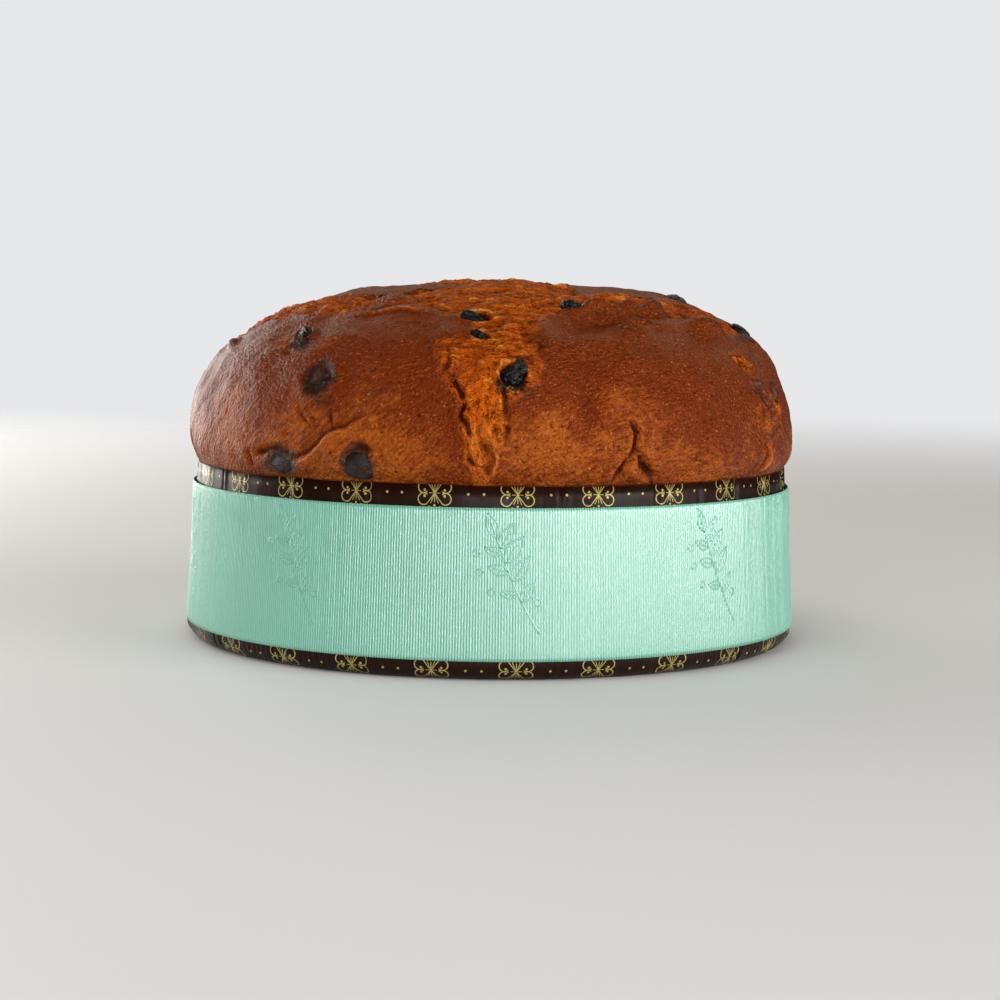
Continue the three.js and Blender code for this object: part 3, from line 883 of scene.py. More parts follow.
def buildLoaf():
    # the smooth crust on a grid, each point moved along its normal by the sum of all the reliefs
    s, torns = loafShape, tornShape
    share, azimuth = squareToDisc(s["gridSize"], s["frontFiner"])
    down = crustLength * ((1 + s["rimFiner"]) * share - s["rimFiner"] * share**2)
    smooth = crustPoint(azimuth, down)
    normal = gridNormals(smooth)
    place = flatMap(azimuth, down)
    rimNear = smoothStep(crustLength - down, 0.0, s["rimSeat"])

    # the edge of the torn cross, made ragged by shifting the map with noise
    shift = noiseShift(smooth, torns["raggedSize"], 11, 3)
    shiftFine = noiseShift(smooth, torns["raggedFineSize"], 13, 2)
    ragged = place + torns["ragged"] * shift * rimNear[..., None] + torns["raggedFine"] * shiftFine
    inside, inward = insideOutlines(ragged, tornOutlines)
    high = 1 - smoothStep(down, torns["highFrom"], torns["highTo"])
    sharp = smoothStep(latticeNoise(smooth, 12.0, 26), -0.3, 0.7) * (0.35 + 0.65 * high)  # 1 on a scarp
    soft = 1 - sharp
    torn = smoothStep(inside, -0.5 - 1.6 * soft, 0.9 + 1.8 * soft)
    skin = skinRelief(smooth, inside)
    rise = skin + torn * (crumbRelief(smooth, down, inside, sharp, high, shift) - skin)
    for azimuthAt, downAt, halfAcross, halfDown, turn, amount in swellings:
        rise = rise + amount * ovalFall(place, azimuthAt, downAt, halfAcross, halfDown, turn)

    wobble = noiseShift(smooth, s["wobbleSize"], 41, 2)
    drawn = place + s["wobble"] * wobble
    broken = np.clip(0.62 + 0.95 * latticeNoise(smooth, 3.2, 45), 0.12, 1.15)
    # painted shade along the sharp tear edges; a band of crumb orange along the soft ones
    paintedShade = 0.55 * bell(inside - 0.5, 0.5) * sharp**2 * broken
    rimTintAndFoldHighlight = 0.7 * bell(inside + 0.1, 0.9) * soft
    rise, paintedShade = cutCracks(drawn, broken, rise, paintedShade)
    rise, paintedShade, rimTintAndFoldHighlight = raiseFolds(drawn, rise, paintedShade, rimTintAndFoldHighlight)
    rise, paintedShade, burnt = seatRaisins(smooth, rise, paintedShade)
    for azimuthAt, downAt, halfAcross, halfDown, turn, strength in burns:
        fall = ovalFall(drawn + 0.8 * wobble + shiftFine, azimuthAt, downAt, halfAcross, halfDown, turn)
        burnt = np.maximum(burnt, strength * np.clip(1.4 * fall, 0, 1))

    # the lip keeps its seat on the rim of the mould
    seated = 0.3 * roughNoise(smooth, 7.0, 51, 2) * (1 - rimNear) * smoothStep(crustLength - down, 0, 1.5)
    rise = rise * rimNear + seated
    # skin beside a tear leans over it
    lean = torns["overhang"] * sharp * bell(inside + 0.7, torns["overhangWidth"])
    lean = lean * rimNear * smoothStep(down, torns["overhangFrom"], torns["overhangFull"])
    crust = smooth + normal * rise[..., None] + leanWay(smooth, normal, azimuth, inward) * lean[..., None]
    crust[..., 2] = np.minimum(crust[..., 2], loafHigh[2] + s["lumpsPastTop"])

    # masks for the finish; the grain runs down the crust on a slant
    slant = s["grainWay"][0] * smooth[..., 0] + s["grainWay"][1] * smooth[..., 1]
    grain = np.stack([smooth[..., 0], smooth[..., 1], down + s["grainSlant"] * slant], -1)
    bake = 1 - smoothStep(down, s["darkTo"], s["paleFrom"]) + 0.2 * np.clip(np.sin(azimuth), 0, 1)
    bake = bake + 0.26 * roughNoise(smooth, 20.0, 61, 3)
    # the local rise, which the finish uses to paint crests lighter and recesses darker: painted light and
    # shade
    relief = np.clip(rise - softened(rise, 14), -1, 1)
    masks = {"torn": torn, "paintedShade": paintedShade, "burnt": burnt, "bake": bake, "rimTintAndFoldHighlight": rimTintAndFoldHighlight}

    points, faces = closeBelow(crust)
    hidden = np.zeros(len(points) - down.size)  # the skirt's share of each mask
    attributes = {key: np.append(np.clip(mask, 0, 1), hidden) for key, mask in masks.items()}
    # the hidden rings inside the mould get full painted shade
    attributes["paintedShade"][down.size:] = 1
    attributes["relief"] = np.append(relief, hidden)
    attributes["grain"] = np.concatenate([grain.reshape(-1, 3), np.zeros((len(hidden), 3))]) * mm
    return putMesh("loaf_crust", points, faces, attributes)


loafPiece = buildLoaf()
print("loaf:", len(loafPiece.data.polygons), "faces")


def buildRaisin(name, seed):
    # an oval whose radius is cut by ridged noise drawn out along its length, so that it shrivels in long
    # folds
    s = raisinShape
    middle, directions, half = raisinFrame(name)
    outward = unit(middle - np.array([0, 0, 60.0]))
    middle = middle - s["deeper"].get(name, s["depth"]) * outward
    shrivel = s["smoothness"].get(name, 1.0)
    theta = np.linspace(0, math.pi, s["rows"] + 2)[1:-1][:, None]
    turn = np.linspace(0, 2 * math.pi, s["columns"], endpoint=False)[None, :]
    ball = np.broadcast_arrays(np.cos(theta), np.sin(theta) * np.cos(turn), np.sin(theta) * np.sin(turn))
    ball = np.stack(ball, -1)
    bent = ball + 0.25 * np.stack([latticeNoise(ball, 0.8, seed * 7 + k) for k in (0, 1, 2)], -1)
    crease = 1 - np.abs(roughNoise(bent * np.array([0.8, 1.9, 1.9]), 1.0, seed * 7 + 3, 2))
    fine = 1 - np.abs(latticeNoise(bent * np.array([2.2, 5.0, 5.0]), 1.0, seed * 7 + 5))
    size = s["plump"] * (1 - shrivel * (s["folds"] * crease**3 + s["fineFolds"] * fine**2))
    size = size * (0.96 + 0.04 * shrivel) + s["uneven"] * latticeNoise(ball, 0.9, seed * 7 + 6)
    if name in s["bulge"]:
        way, amount = s["bulge"][name]
        size = size + amount * bell(1 - (ball @ directions) @ np.array(way), 0.22)
    points = ((ball * size[..., None] * half) @ directions).reshape(-1, 3)
    points = points - (1 - s["flat"]) * (points @ outward)[:, None] * outward + middle
    faces = closedGrid(s["rows"], s["columns"])
    if np.linalg.det(directions) < 0:  # the three directions are left-handed
        faces = [face[..., ::-1] for face in faces]
    baked = np.full(len(points), s["grownIn"].get(name, 0.0))
    # paintedShade: how deep each point lies in a crease, for painted shade in the finish
    return putMesh(name + "_skin", points, faces, {"paintedShade": (shrivel * crease).reshape(-1), "baked": baked})


raisinPieces = {name: buildRaisin(name, index + 1) for index, name in enumerate(raisinNames)}
print("raisins:", len(raisinPieces))

mouldShape = {
    "columns": 1440,
    "height": float(wallHigh[2]),
    "footRadius": 105.0,
    "rimRadius": 101.7,
    "corner": 5.5,
    "paper": 0.35,
    "flangeInner": 88.0,
    "sideRows": 14,
    "cornerRows": 7,
    "flangeRows": 5,
    "lapAzimuth": 150.0,
    "lapHalfWidth": 5.6,  # degrees
    "pleats": [-172, -158, -149, -131, -118, -104, -96, -86, -81, -74, -66, -59, -52, -38, -21.5, -9.3,
               12.5, 30.6, 41, 51, 62, 68, 77, 84, 97, 109, 122, 137, 163, 174],
    "pleatDepth": 0.60,
    "pleatWidth": 0.8,
    "sway": 0.30,
    "flutes": 288,
    "fluteHeight": 0.13,
    "radius": 103,  # of the wall's middle, where lengths round it are counted for its creases
    "lapHeight": 0.5,
    "rimWave": 0.35,
    "flangePleat": 0.22,
    "printRadius": 104,  # where lengths round it are counted for the print
    "printColumns": 25,
    "printRows": 54.5,
    "printTurn": 4.9,
}


def wallRadius(height):
    # straight taper from the foot to the rim
    m = mouldShape
    share = (height - m["corner"]) / (m["height"] - m["corner"])
    return m["footRadius"] + (m["rimRadius"] - m["footRadius"]) * share


def wrapDegrees(degrees):
    # the same angle between -180 and 180
    return (degrees + 180) % 360 - 180


def paperRelief(degrees, height):
    # how far the paper stands out: a groove and a ridge at each pleat, slow sways between them, fine
    # flutes near the foot, and the glued lap; pressed flatter under the ribbon
    m = mouldShape
    degrees, height = np.broadcast_arrays(degrees, height)
    relief = np.zeros(degrees.shape)
    for index, pleat in enumerate(m["pleats"]):
        lean = 0.6 * math.sin(index * 2.7) * (height / m["height"] - 0.5)
        offset = wrapDegrees(degrees - pleat - lean) * math.radians(1) * m["radius"]
        strength = 0.6 + 0.4 * math.sin(index * 4.1)
        relief = relief - strength * m["pleatDepth"] * bell(offset, m["pleatWidth"])
        relief = relief + strength * 0.75 * m["pleatDepth"] * bell(offset - 2.0, 1.3)
    a = np.radians(degrees)
    ring = np.stack([m["radius"] * np.sin(a), m["radius"] * np.cos(a), height * 0.25], -1)
    relief = relief + m["sway"] * roughNoise(ring, 13.0, 71, 3)
    flute = np.sin(a * m["flutes"] + 2.0 * latticeNoise(ring, 9.0, 73))
    low = 1 - smoothStep(height, 5.0, 11.0)
    flute = m["fluteHeight"] * flute * (0.12 + low * 0.88)
    relief = relief + flute * (0.6 + 0.4 * latticeNoise(ring, 15.0, 74))
    fromLap = np.abs(wrapDegrees(degrees - m["lapAzimuth"]))
    lap = 1 - smoothStep(fromLap, m["lapHalfWidth"], m["lapHalfWidth"] + 0.5)
    covered = smoothStep(height, 5.0, 8.0) * (1 - smoothStep(height, 51.5, 54.5))
    return np.minimum(relief * (1 - 0.75 * covered), 0.5 - 0.3 * covered) + m["lapHeight"] * lap


def buildMouldWall():
    # a section carried round: from the flange's inner edge out, round the corner by sine and cosine, and up
    # the side; outness is how much of the relief each of its points takes
    m = mouldShape
    columns, corner = m["columns"], m["corner"]
    degrees = np.linspace(-180, 180, columns, endpoint=False)
    flange = np.linspace(m["flangeInner"], m["footRadius"] - corner, m["flangeRows"], endpoint=False)
    turn = np.linspace(-math.pi / 2, 0, m["cornerRows"])
    side = np.linspace(corner, m["height"], m["sideRows"] + 1)[1:]
    radius = np.concatenate([flange, m["footRadius"] - corner + corner * np.cos(turn), wallRadius(side)])
    height = np.concatenate([0 * flange, corner + corner * np.sin(turn), side])
    outness = np.concatenate([0 * flange, np.cos(turn), np.ones(len(side))])
    arc = np.concatenate([[0], np.cumsum(np.hypot(np.diff(radius), np.diff(height)))])
    arc = arc - arc[np.argmax(height >= corner)] + corner  # equals the height on the side
    relief = paperRelief(degrees[:, None], height[None, :])
    a = np.radians(degrees)[:, None]
    ring = m["radius"] * np.stack([np.sin(a), np.cos(a), 0 * a], -1)
    lift = m["rimWave"] * roughNoise(ring, 14.0, 75, 2) * smoothStep(height, m["height"] - 6, m["height"])
    lift = lift + m["flangePleat"] * (1 + np.sin(a * m["flutes"] / 2)) * (1 - smoothStep(radius, 96, 100))
    outer = around(a, radius + relief * outness, height + lift)
    inset = m["paper"]
    inner = around(a, radius + (relief - inset) * outness, height + lift + inset * (1 - outness))
    section = np.concatenate([outer, inner[:, ::-1]], axis=1)
    rows = section.shape[1]
    u = np.repeat(np.radians(degrees)[:, None] * m["printRadius"], rows, axis=1)
    v = np.repeat(np.concatenate([arc, arc[::-1]])[None], columns, axis=0)
    outside = np.concatenate([np.ones_like(relief), np.zeros_like(relief)], axis=1)
    quads = gridQuads(columns, rows, closedRows=True, closedColumns=True)
    printSpace = np.stack([u, v, outside], -1).reshape(-1, 3)
    return putMesh("mould_paper_wall", section.reshape(-1, 3), [quads], {"printPlace": printSpace})


wallPiece = buildMouldWall()

baseShape = {"rings": 26, "columns": 180, "innerRadius": 4, "ripple": 0.10, "rippleCount": 44}


def buildMouldBase():
    # a thin disc whose two faces ripple alike: the height follows the cosine of one coordinate, as in
    # corrugated card
    b = baseShape
    radius = np.linspace(b["innerRadius"], baseHigh[0], b["rings"])[:, None]
    turn = np.linspace(0, 2 * math.pi, b["columns"], endpoint=False)[None, :]
    x, y = radius * np.cos(turn), radius * np.sin(turn)
    ripple = b["ripple"] * np.cos(x * math.pi * b["rippleCount"] / baseHigh[0])
    under = np.stack([x, y, baseLow[2] + ripple], -1)
    over = np.stack([x, y, baseHigh[2] + ripple], -1)
    section = np.concatenate([under, over[::-1]], axis=0)
    return putMesh("mould_card_base", section.reshape(-1, 3), closedGrid(section.shape[0], b["columns"]))


basePiece = buildMouldBase()
print("mould wall and base")

ribbonShape = {
    "bottom": float(ribbonLow[2]),
    "top": float(ribbonHigh[2]),
    "thickness": 0.36,
    "ribs": 750,
    "columnsPerRib": 4,
    "ribHeight": 0.26,
    "rows": 11,
    "startAzimuth": 172.5,
    "lap": 15.0,  # degrees that the ends overlap
    "lapEase": 9.5,  # degrees from the paper's lap where the ribbon is back on the wall
    "ramp": 7.5,
    "stand": 0.42,
    "standLoose": 0.55,
    "endStand": 1.45,
    "scallop": 0.16,
    "fabricMiddle": 30.0,  # height where its length is measured, and above which it gapes at the sides
}


def ribbonStand(degrees, height):
    # gap between wall and ribbon: small all round, looser at the two sides
    r = ribbonShape
    loose = np.abs(np.sin(np.radians(degrees))) ** 6
    return r["stand"] + r["standLoose"] * loose * smoothStep(height, r["fabricMiddle"], r["top"])


def ribbonFace(degreesOn, height, extra):
    # a point of the ribbon at an angle counted on from its inner end: past a full turn less the ramp
    # it climbs over the inner end
    r, m = ribbonShape, mouldShape
    degrees = r["startAzimuth"] + degreesOn
    lap = 1 - smoothStep(np.abs(wrapDegrees(degrees - m["lapAzimuth"])), m["lapHalfWidth"], r["lapEase"])
    climb = (r["endStand"] - r["stand"]) * smoothStep(degreesOn, 360 - r["ramp"], 360)
    radius = wallRadius(height) + ribbonStand(degrees, height) + climb + m["lapHeight"] * lap + extra
    return around(np.radians(degrees), radius, height)


def buildRibbon():
    # rounded weft ribs: the outer face stands out by the square root of the sine of the rib's phase, and
    # the selvedges follow the ribs in small scallops
    r = ribbonShape
    turnLength = 360 + r["lap"]
    ribs = int(r["ribs"] * turnLength / 360)
    count = ribs * r["columnsPerRib"] + 1
    on = np.linspace(0, turnLength, count)[:, None]
    phase = np.abs(np.sin(np.linspace(0, ribs * math.pi, count)))[:, None]
    rowShare = 0.5 - 0.5 * np.cos(math.pi * np.linspace(0, 1, r["rows"])[None, :])
    uneven = 0.22 * latticeNoise(on * np.array([1.8, 0, 0]), 0.9, 81)[:, None]
    rib = r["ribHeight"] * (1 + uneven) * np.sqrt(phase)
    edge = 1 - smoothStep(np.abs(2 * rowShare - 1), 0.97, 1.0) * 0.6
    low = r["bottom"] - r["scallop"] * phase
    high = r["top"] + r["scallop"] * phase
    height = low + (high - low) * rowShare
    inner = ribbonFace(on, height[:, ::-1], 0.0)
    outer = ribbonFace(on, height, r["thickness"] - r["ribHeight"] + rib * edge)
    section = np.concatenate([outer, inner], axis=1)
    # valley: share of painted shade, between the ribs and all over the inner face
    valley = np.concatenate([np.repeat(1 - phase, r["rows"], 1), np.ones((count, r["rows"]))], axis=1)
    return putMesh("ribbon_grosgrain", section.reshape(-1, 3), closedGrid(count, section.shape[1]),
                   {"valley": valley.reshape(-1)})


ribbonPiece = buildRibbon()

sprigShape = {
    "count": 9,
    "firstAzimuth": 6.0,
    "middle": 30.0,
    "lineWidth": 0.80,
    "lineHeight": 0.03,
    "lineSink": 0.22,
    "stem": [(-8.5, 14.5), (-5.5, 6.0), (-1.5, -3.5), (5.0, -15.0)],
    # where on the stem, side, length, width, angle off the stem in degrees
    "leaves": [
        (0.02, 0, 8.0, 3.4, 0), (0.16, 1, 9.0, 3.8, 48), (0.24, -1, 6.0, 2.8, 50), (0.34, 1, 10.0, 4.2, 54),
        (0.44, -1, 6.4, 3.0, 54), (0.54, 1, 9.6, 4.0, 58), (0.66, -1, 5.6, 2.6, 58), (0.74, 1, 7.4, 3.2, 62),
    ],
    "berries": [(0.20, -1, 7.6), (0.40, -1, 8.6), (0.62, -1, 7.4), (0.86, 1, 4.6)],
    "berryRadius": 1.0,
}


def sprigLines():
    # a leafy sprig as lines in its own plane (x across, y up): a bent stem, leaves whose outlines bulge by
    # the sine of the share of their length, each with a vein, and round berries
    s = sprigShape
    knots = np.array(s["stem"])
    share = np.linspace(0, 1, len(knots))
    fine = np.linspace(0, 1, 30)
    bend = np.polyfit(share, knots, 3)
    stem = np.stack([np.polyval(bend[:, 0], fine), np.polyval(bend[:, 1], fine)], -1)
    lines = [stem]
    t = np.linspace(0, 1, 15)[:, None]

    def onStem(at):
        index = min(len(stem) - 2, int(at * (len(stem) - 1)))
        return stem[index], unit(stem[index] - stem[index + 1])

    def turned(way, degrees):
        c, n = math.cos(math.radians(degrees)), math.sin(math.radians(degrees))
        return np.array([way[0] * c + way[1] * n, way[1] * c - way[0] * n])

    for at, side, length, width, angle in s["leaves"]:
        start, way = onStem(at)
        along = turned(way, side * angle)
        across = np.array([along[1], -along[0]])
        for bulge in (-1, 1):
            lines.append(start + along * length * t + across * bulge * width / 2 * np.sin(math.pi * t**0.85))
        lines.append(start + along * length * (0.12 + 0.62 * t))
    ring = np.linspace(0, 2 * math.pi, 17)[:, None]
    for at, side, reach in s["berries"]:
        start, way = onStem(at)
        out = turned(way, side * 75)
        center = start + out * reach
        circle = np.concatenate([np.cos(ring), np.sin(ring)], axis=1) * s["berryRadius"]
        lines.append(center + circle)
    return lines


def buildSprigs():
    # each line is a low rounded bead laid on the ribbon: four corners across, carried along the line
    s = sprigShape
    corners = [(-1, -s["lineSink"]), (-0.55, s["lineHeight"]), (0.55, s["lineHeight"]), (1, -s["lineSink"])]
    allPoints, allQuads, allRings, start = [], [], [], 0
    for index in range(s["count"]):
        middle = s["firstAzimuth"] + index * 360 / s["count"]
        for line in sprigLines():
            way = unit(np.gradient(line, axis=0))
            side = np.stack([way[:, 1], -way[:, 0]], -1) * s["lineWidth"] / 2
            sections = []
            for across, rise in corners:
                x, y = (line + across * side).T
                height = s["middle"] + y
                degrees = middle + np.degrees(x / (wallRadius(height) + 1))
                on = (degrees - ribbonShape["startAzimuth"]) % 360
                sections.append(ribbonFace(on, height, ribbonShape["thickness"] + rise))
            tube = np.stack(sections, 1)
            quads, *rings = closedGrid(len(tube), 4, first=start)
            allPoints.append(tube.reshape(-1, 3))
            allQuads.append(quads)
            allRings += rings
            start += len(tube) * 4
    return putMesh("ribbon_sprigs", np.concatenate(allPoints), [np.concatenate(allQuads)] + allRings)


sprigPiece = buildSprigs()

tapeShape = {"width": 36.0, "thickness": 0.2, "columns": 24, "rows": 12, "gap": 0.12}


def buildTape():
    # a patch of the ribbon's inner layer, lifted to lie between the two layers
    t, r = tapeShape, ribbonShape
    bottom = (r["bottom"] + r["top"] - t["width"]) / 2
    on = np.linspace(r["lap"] * 0.25, r["lap"] * 0.75, t["columns"])[:, None]
    height = np.linspace(bottom, bottom + t["width"], t["rows"])[None, :]
    stand = r["thickness"] + t["gap"]
    outer = ribbonFace(on, height, stand + t["thickness"])
    inner = ribbonFace(on, height, stand)[:, ::-1]
    section = np.concatenate([outer, inner], axis=1)
    return putMesh("ribbon_tape_strip", section.reshape(-1, 3), closedGrid(t["columns"], section.shape[1]))


tapePiece = buildTape()
print("ribbon, sprigs and tape")


def linear(r, g, b):
    # a screen colour of 0 to 255 as a linear one
    values = [v / 255 for v in (r, g, b)]
    return tuple(v / 12.92 if v <= 0.04045 else ((v + 0.055) / 1.055) ** 2.4 for v in values) + (1.0,)


grainInputs = ["Vector", "Scale", "Detail", "Roughness", "Distance", "Strength"]


def grainGroup():
    # fine grain that several finishes share: a noise as a value, and the normal of the bumps it makes
    group = bpy.data.node_groups.new("grain", "ShaderNodeTree")
    for name in grainInputs:
        kind = "NodeSocketVector" if name == "Vector" else "NodeSocketFloat"
        group.interface.new_socket(name, in_out="INPUT", socket_type=kind)
    group.interface.new_socket("Value", in_out="OUTPUT", socket_type="NodeSocketFloat")
    group.interface.new_socket("Normal", in_out="OUTPUT", socket_type="NodeSocketVector")
    t = Tree(group)
    given = t.add("NodeGroupInput").outputs
    result = t.add("NodeGroupOutput").inputs
    value = t.noise(given["Vector"], given["Scale"], given["Detail"], given["Roughness"])
    t.link(value, result["Value"])
    t.link(t.bump(value, given["Distance"], given["Strength"]), result["Normal"])
    return group


sharedGrain = grainGroup()


def addGrain(t, *values):
    # the shared group in a material, with that material's own values in the order of its inputs
    node = t.add("ShaderNodeGroup", node_tree=sharedGrain)
    for name, value in zip(grainInputs, values):
        t.put(node.inputs[name], value)
    return node.outputs["Value"], node.outputs["Normal"]


crustLook = {
    "dark": (0.125, 0.0185, 0.0012, 1),
    "brown": (0.132, 0.0155, 0.0009, 1),
    "light": (0.295, 0.0640, 0.0055, 1),
    # pale specks: lighter spots in the crust and painted glints on its fine bumps
    "speck": (0.60, 0.200, 0.0400, 1),
    "tornDark": (0.14, 0.014, 0.0008, 1),
    "torn": (0.46, 0.082, 0.0035, 1),
    "tongue": (0.47, 0.125, 0.0180, 1),
    # pale painted highlight for the raised side of folds
    "foldHighlight": (0.62, 0.270, 0.0950, 1),
    "tornPale": (0.82, 0.320, 0.0450, 1),
    "tornBrown": (0.24, 0.040, 0.0030, 1),
    "burnt": (0.015, 0.0068, 0.0042, 1),
    # painted shade for cracks, fold undersides, raisin rings, sunken relief and the dark pore specks
    "paintedShade": (0.036, 0.0048, 0.0007, 1),
    "roughness": (0.38, 0.52),
    "crumbRougher": 0.10,
    "specular": (0.9, 0.35),  # of skin and of crumb
    "specularTint": (1.0, 0.62, 0.38, 1),
    "ior": 1.22,
    "scorchedCoat": 0.32,  # scorched skin is glossier
    "scorchedCoatRoughness": 0.30,
    "skinBump": 0.0013,  # m
    "crumbBump": 0.0035,
    # sizes of the noises, in turns a metre; three numbers stretch one along X, Y and Z, or down the crust
    "patches": 16,
    "mottle": 60,
    "grit": 900,
    "specks": 1300,
    "strands": (300, 300, 1050),
    "pores": (700, 700, 1300),
    "lying": (150, 460, 560),
    "hanging": (480, 460, 170),
}


def crustMaterial():
    # skin from brown to dark by its bake, crumb coloured by its strands, then painted highlights on folds,
    # painted shade in hollows and cracks, and scorches
    look = crustLook
    material, t, shader = newMaterial("crust")
    coords, grainSpace = t.coords(), t.attribute("grain", "Vector")
    torn, relief, baked = t.attribute("torn"), t.attribute("relief"), t.attribute("bake")
    strands = t.noise(t.scaled(grainSpace, look["strands"]), 1.0, 2.0, 0.6)
    grit = t.noise(coords, look["grit"], 1.5, 0.5)
    mottle = t.noise(coords, look["mottle"], 5.0, 0.62)
    specks = t.noise(coords, look["specks"], 1.0, 0.5)
    patches = t.noise(coords, look["patches"], 2.0, 0.5)

    bake = t.plus(t.plus(baked, t.swing(mottle, 1.2)), t.swing(strands, 1.15))
    # raised relief lightens the skin and sunken relief darkens it: painted light and shade
    bake = t.minus(bake, t.times(relief, 0.3))
    lobes = t.mix(t.ramp(bake, 0.35, 1.05), look["brown"], look["dark"])
    lobes = t.mix(t.ramp(bake, 0.42, -0.25), lobes, look["light"])
    # pale specks: lighter spots and painted glints on the fine bumps
    lobes = t.mix(t.ramp(specks, 0.62, 0.78, 0, 0.5), lobes, look["speck"])
    # dark grit specks for the pores, in painted shade
    lobes = t.mix(t.ramp(grit, 0.42, 0.25, 0, 0.8), lobes, look["paintedShade"])

    # strands lie across near the top and hang down lower
    lying = t.noise(t.scaled(coords, look["lying"]), 1.0, 3.0, 0.6)
    hanging = t.noise(t.scaled(coords, look["hanging"]), 1.0, 3.0, 0.6)
    flakes = t.math("MULTIPLY_ADD", t.ramp(baked, 0.25, 0.85), t.minus(lying, hanging), hanging)
    # raised relief lightens the crumb and sunken relief darkens it: painted light and shade
    flakes = t.plus(flakes, t.times(relief, 0.30))
    crumb = t.mix(t.ramp(flakes, 0.30, 0.56), look["tornDark"], look["torn"])
    crumb = t.mix(t.ramp(flakes, 0.58, 0.78, 0, 0.8), crumb, look["tornPale"])
    # pale specks in the crumb: lighter bits and painted glints
    crumb = t.mix(t.ramp(specks, 0.62, 0.78, 0, 0.5), crumb, look["tornPale"])
    crumb = t.mix(t.ramp(baked, 0.30, 0.05, 0, 0.6), crumb, look["tongue"])
    crumb = t.mix(t.ramp(mottle, 0.50, 0.36, 0, 0.7), crumb, look["tornBrown"])
    darker = t.plus(bake, t.minus(patches, 0.5))
    crumb = t.mix(t.ramp(darker, 0.55, 1.15, 0, 0.5), crumb, look["tornBrown"])
    tornShare = t.times(torn, t.ramp(t.plus(mottle, patches), 0.65, 1.15, 0.6, 1.0))
    color = t.mix(tornShare, lobes, crumb)

    rimTintAndFoldHighlight = t.attribute("rimTintAndFoldHighlight")
    # crumb orange along soft tear rims, and a painted highlight on the raised side of each fold
    color = t.mix(t.ramp(rimTintAndFoldHighlight, 0.2, 1.0, 0, 0.6), color, look["torn"])
    color = t.mix(t.ramp(rimTintAndFoldHighlight, 0.7, 1.0, 0, 0.6), color, look["foldHighlight"])
    # painted shade in sunken relief, then in cracks, under folds, round raisins and along sharp tear edges
    color = t.mix(t.ramp(relief, -0.15, -0.9, 0, 0.7), color, look["paintedShade"])
    color = t.mix(t.ramp(t.attribute("paintedShade"), 0.15, 0.9, 0, 0.92), color, look["paintedShade"])
    scorch = t.plus(t.attribute("burnt"), t.swing(grit, 1.1))
    color = t.mix(t.ramp(scorch, 0.22, 0.80), color, look["burnt"])
    t.link(color, shader.inputs["Base Color"])

    rough = t.plus(t.ramp(mottle, 0.3, 0.7, *look["roughness"]), t.times(torn, look["crumbRougher"]))
    t.link(rough, shader.inputs["Roughness"])
    t.link(t.ramp(torn, 0.2, 0.9, *look["specular"]), shader.inputs["Specular IOR Level"])
    shader.inputs["IOR"].default_value = look["ior"]
    shader.inputs["Specular Tint"].default_value = look["specularTint"]
    t.link(t.ramp(scorch, 0.15, 0.70, 0, look["scorchedCoat"]), shader.inputs["Coat Weight"])
    shader.inputs["Coat Roughness"].default_value = look["scorchedCoatRoughness"]

    pores = t.ramp(t.noise(t.scaled(grainSpace, look["pores"]), 1.0, 0.0, 0.5), 0.66, 0.80)
    height = t.plus(t.times(strands, 0.6), t.times(grit, 0.9))
    height = t.minus(height, t.times(pores, 0.3))
    skin = t.bump(height, look["skinBump"])
    t.link(t.bump(t.times(flakes, torn), look["crumbBump"], normal=skin), shader.inputs["Normal"])
    return material


raisinLook = {
    "black": (0.0045, 0.0040, 0.0035, 1),
    "bloom": (0.017, 0.015, 0.012, 1),
    "grownOver": (0.050, 0.0095, 0.0028, 1),
    # painted shade for the creases
    "crease": (0.003, 0.002, 0.0015, 1),
    "roughness": (0.10, 0.30),
    "grownRougher": 0.25,
    "specular": 0.32,
}


def raisinMaterial():
    # black with a dull bloom, brown where the skin has grown over, and painted shade in the creases
    look = raisinLook
    material, t, shader = newMaterial("raisin")
    coords, grown = t.coords(), t.attribute("baked")
    bloom = t.noise(coords, 300, 3.0, 0.6)
    color = t.mix(t.ramp(bloom, 0.4, 0.7), look["black"], look["bloom"])
    flecked = t.times(grown, t.ramp(t.noise(coords, 700, 3.0, 0.6), 0.35, 0.6))
    color = t.mix(flecked, color, look["grownOver"])
    # painted shade in the creases
    color = t.mix(t.ramp(t.attribute("paintedShade"), 0.7, 1.0, 0, 0.8), color, look["crease"])
    t.link(color, shader.inputs["Base Color"])
    bare = t.ramp(bloom, 0.35, 0.7, *look["roughness"])
    t.link(t.math("MULTIPLY_ADD", grown, look["grownRougher"], bare), shader.inputs["Roughness"])
    shader.inputs["Specular IOR Level"].default_value = look["specular"]
    t.link(addGrain(t, coords, 1000, 4.0, 0.6, 0.0008, 0.8)[1], shader.inputs["Normal"])
    return material


paperLook = {
    "ground": (0.0080, 0.0018, 0.0008, 1),
    "groundLight": (0.0150, 0.0036, 0.0014, 1),
    "gold": (0.40, 0.33, 0.105, 1),
    "inside": linear(120, 84, 56),
    "line": 0.19,
    "firstRow": 2.4,  # mm under the rim
    "inkMetal": 0.25,
    "roughness": (0.30, 0.44),
    "specular": 0.60,
    "ior": 1.22,
}


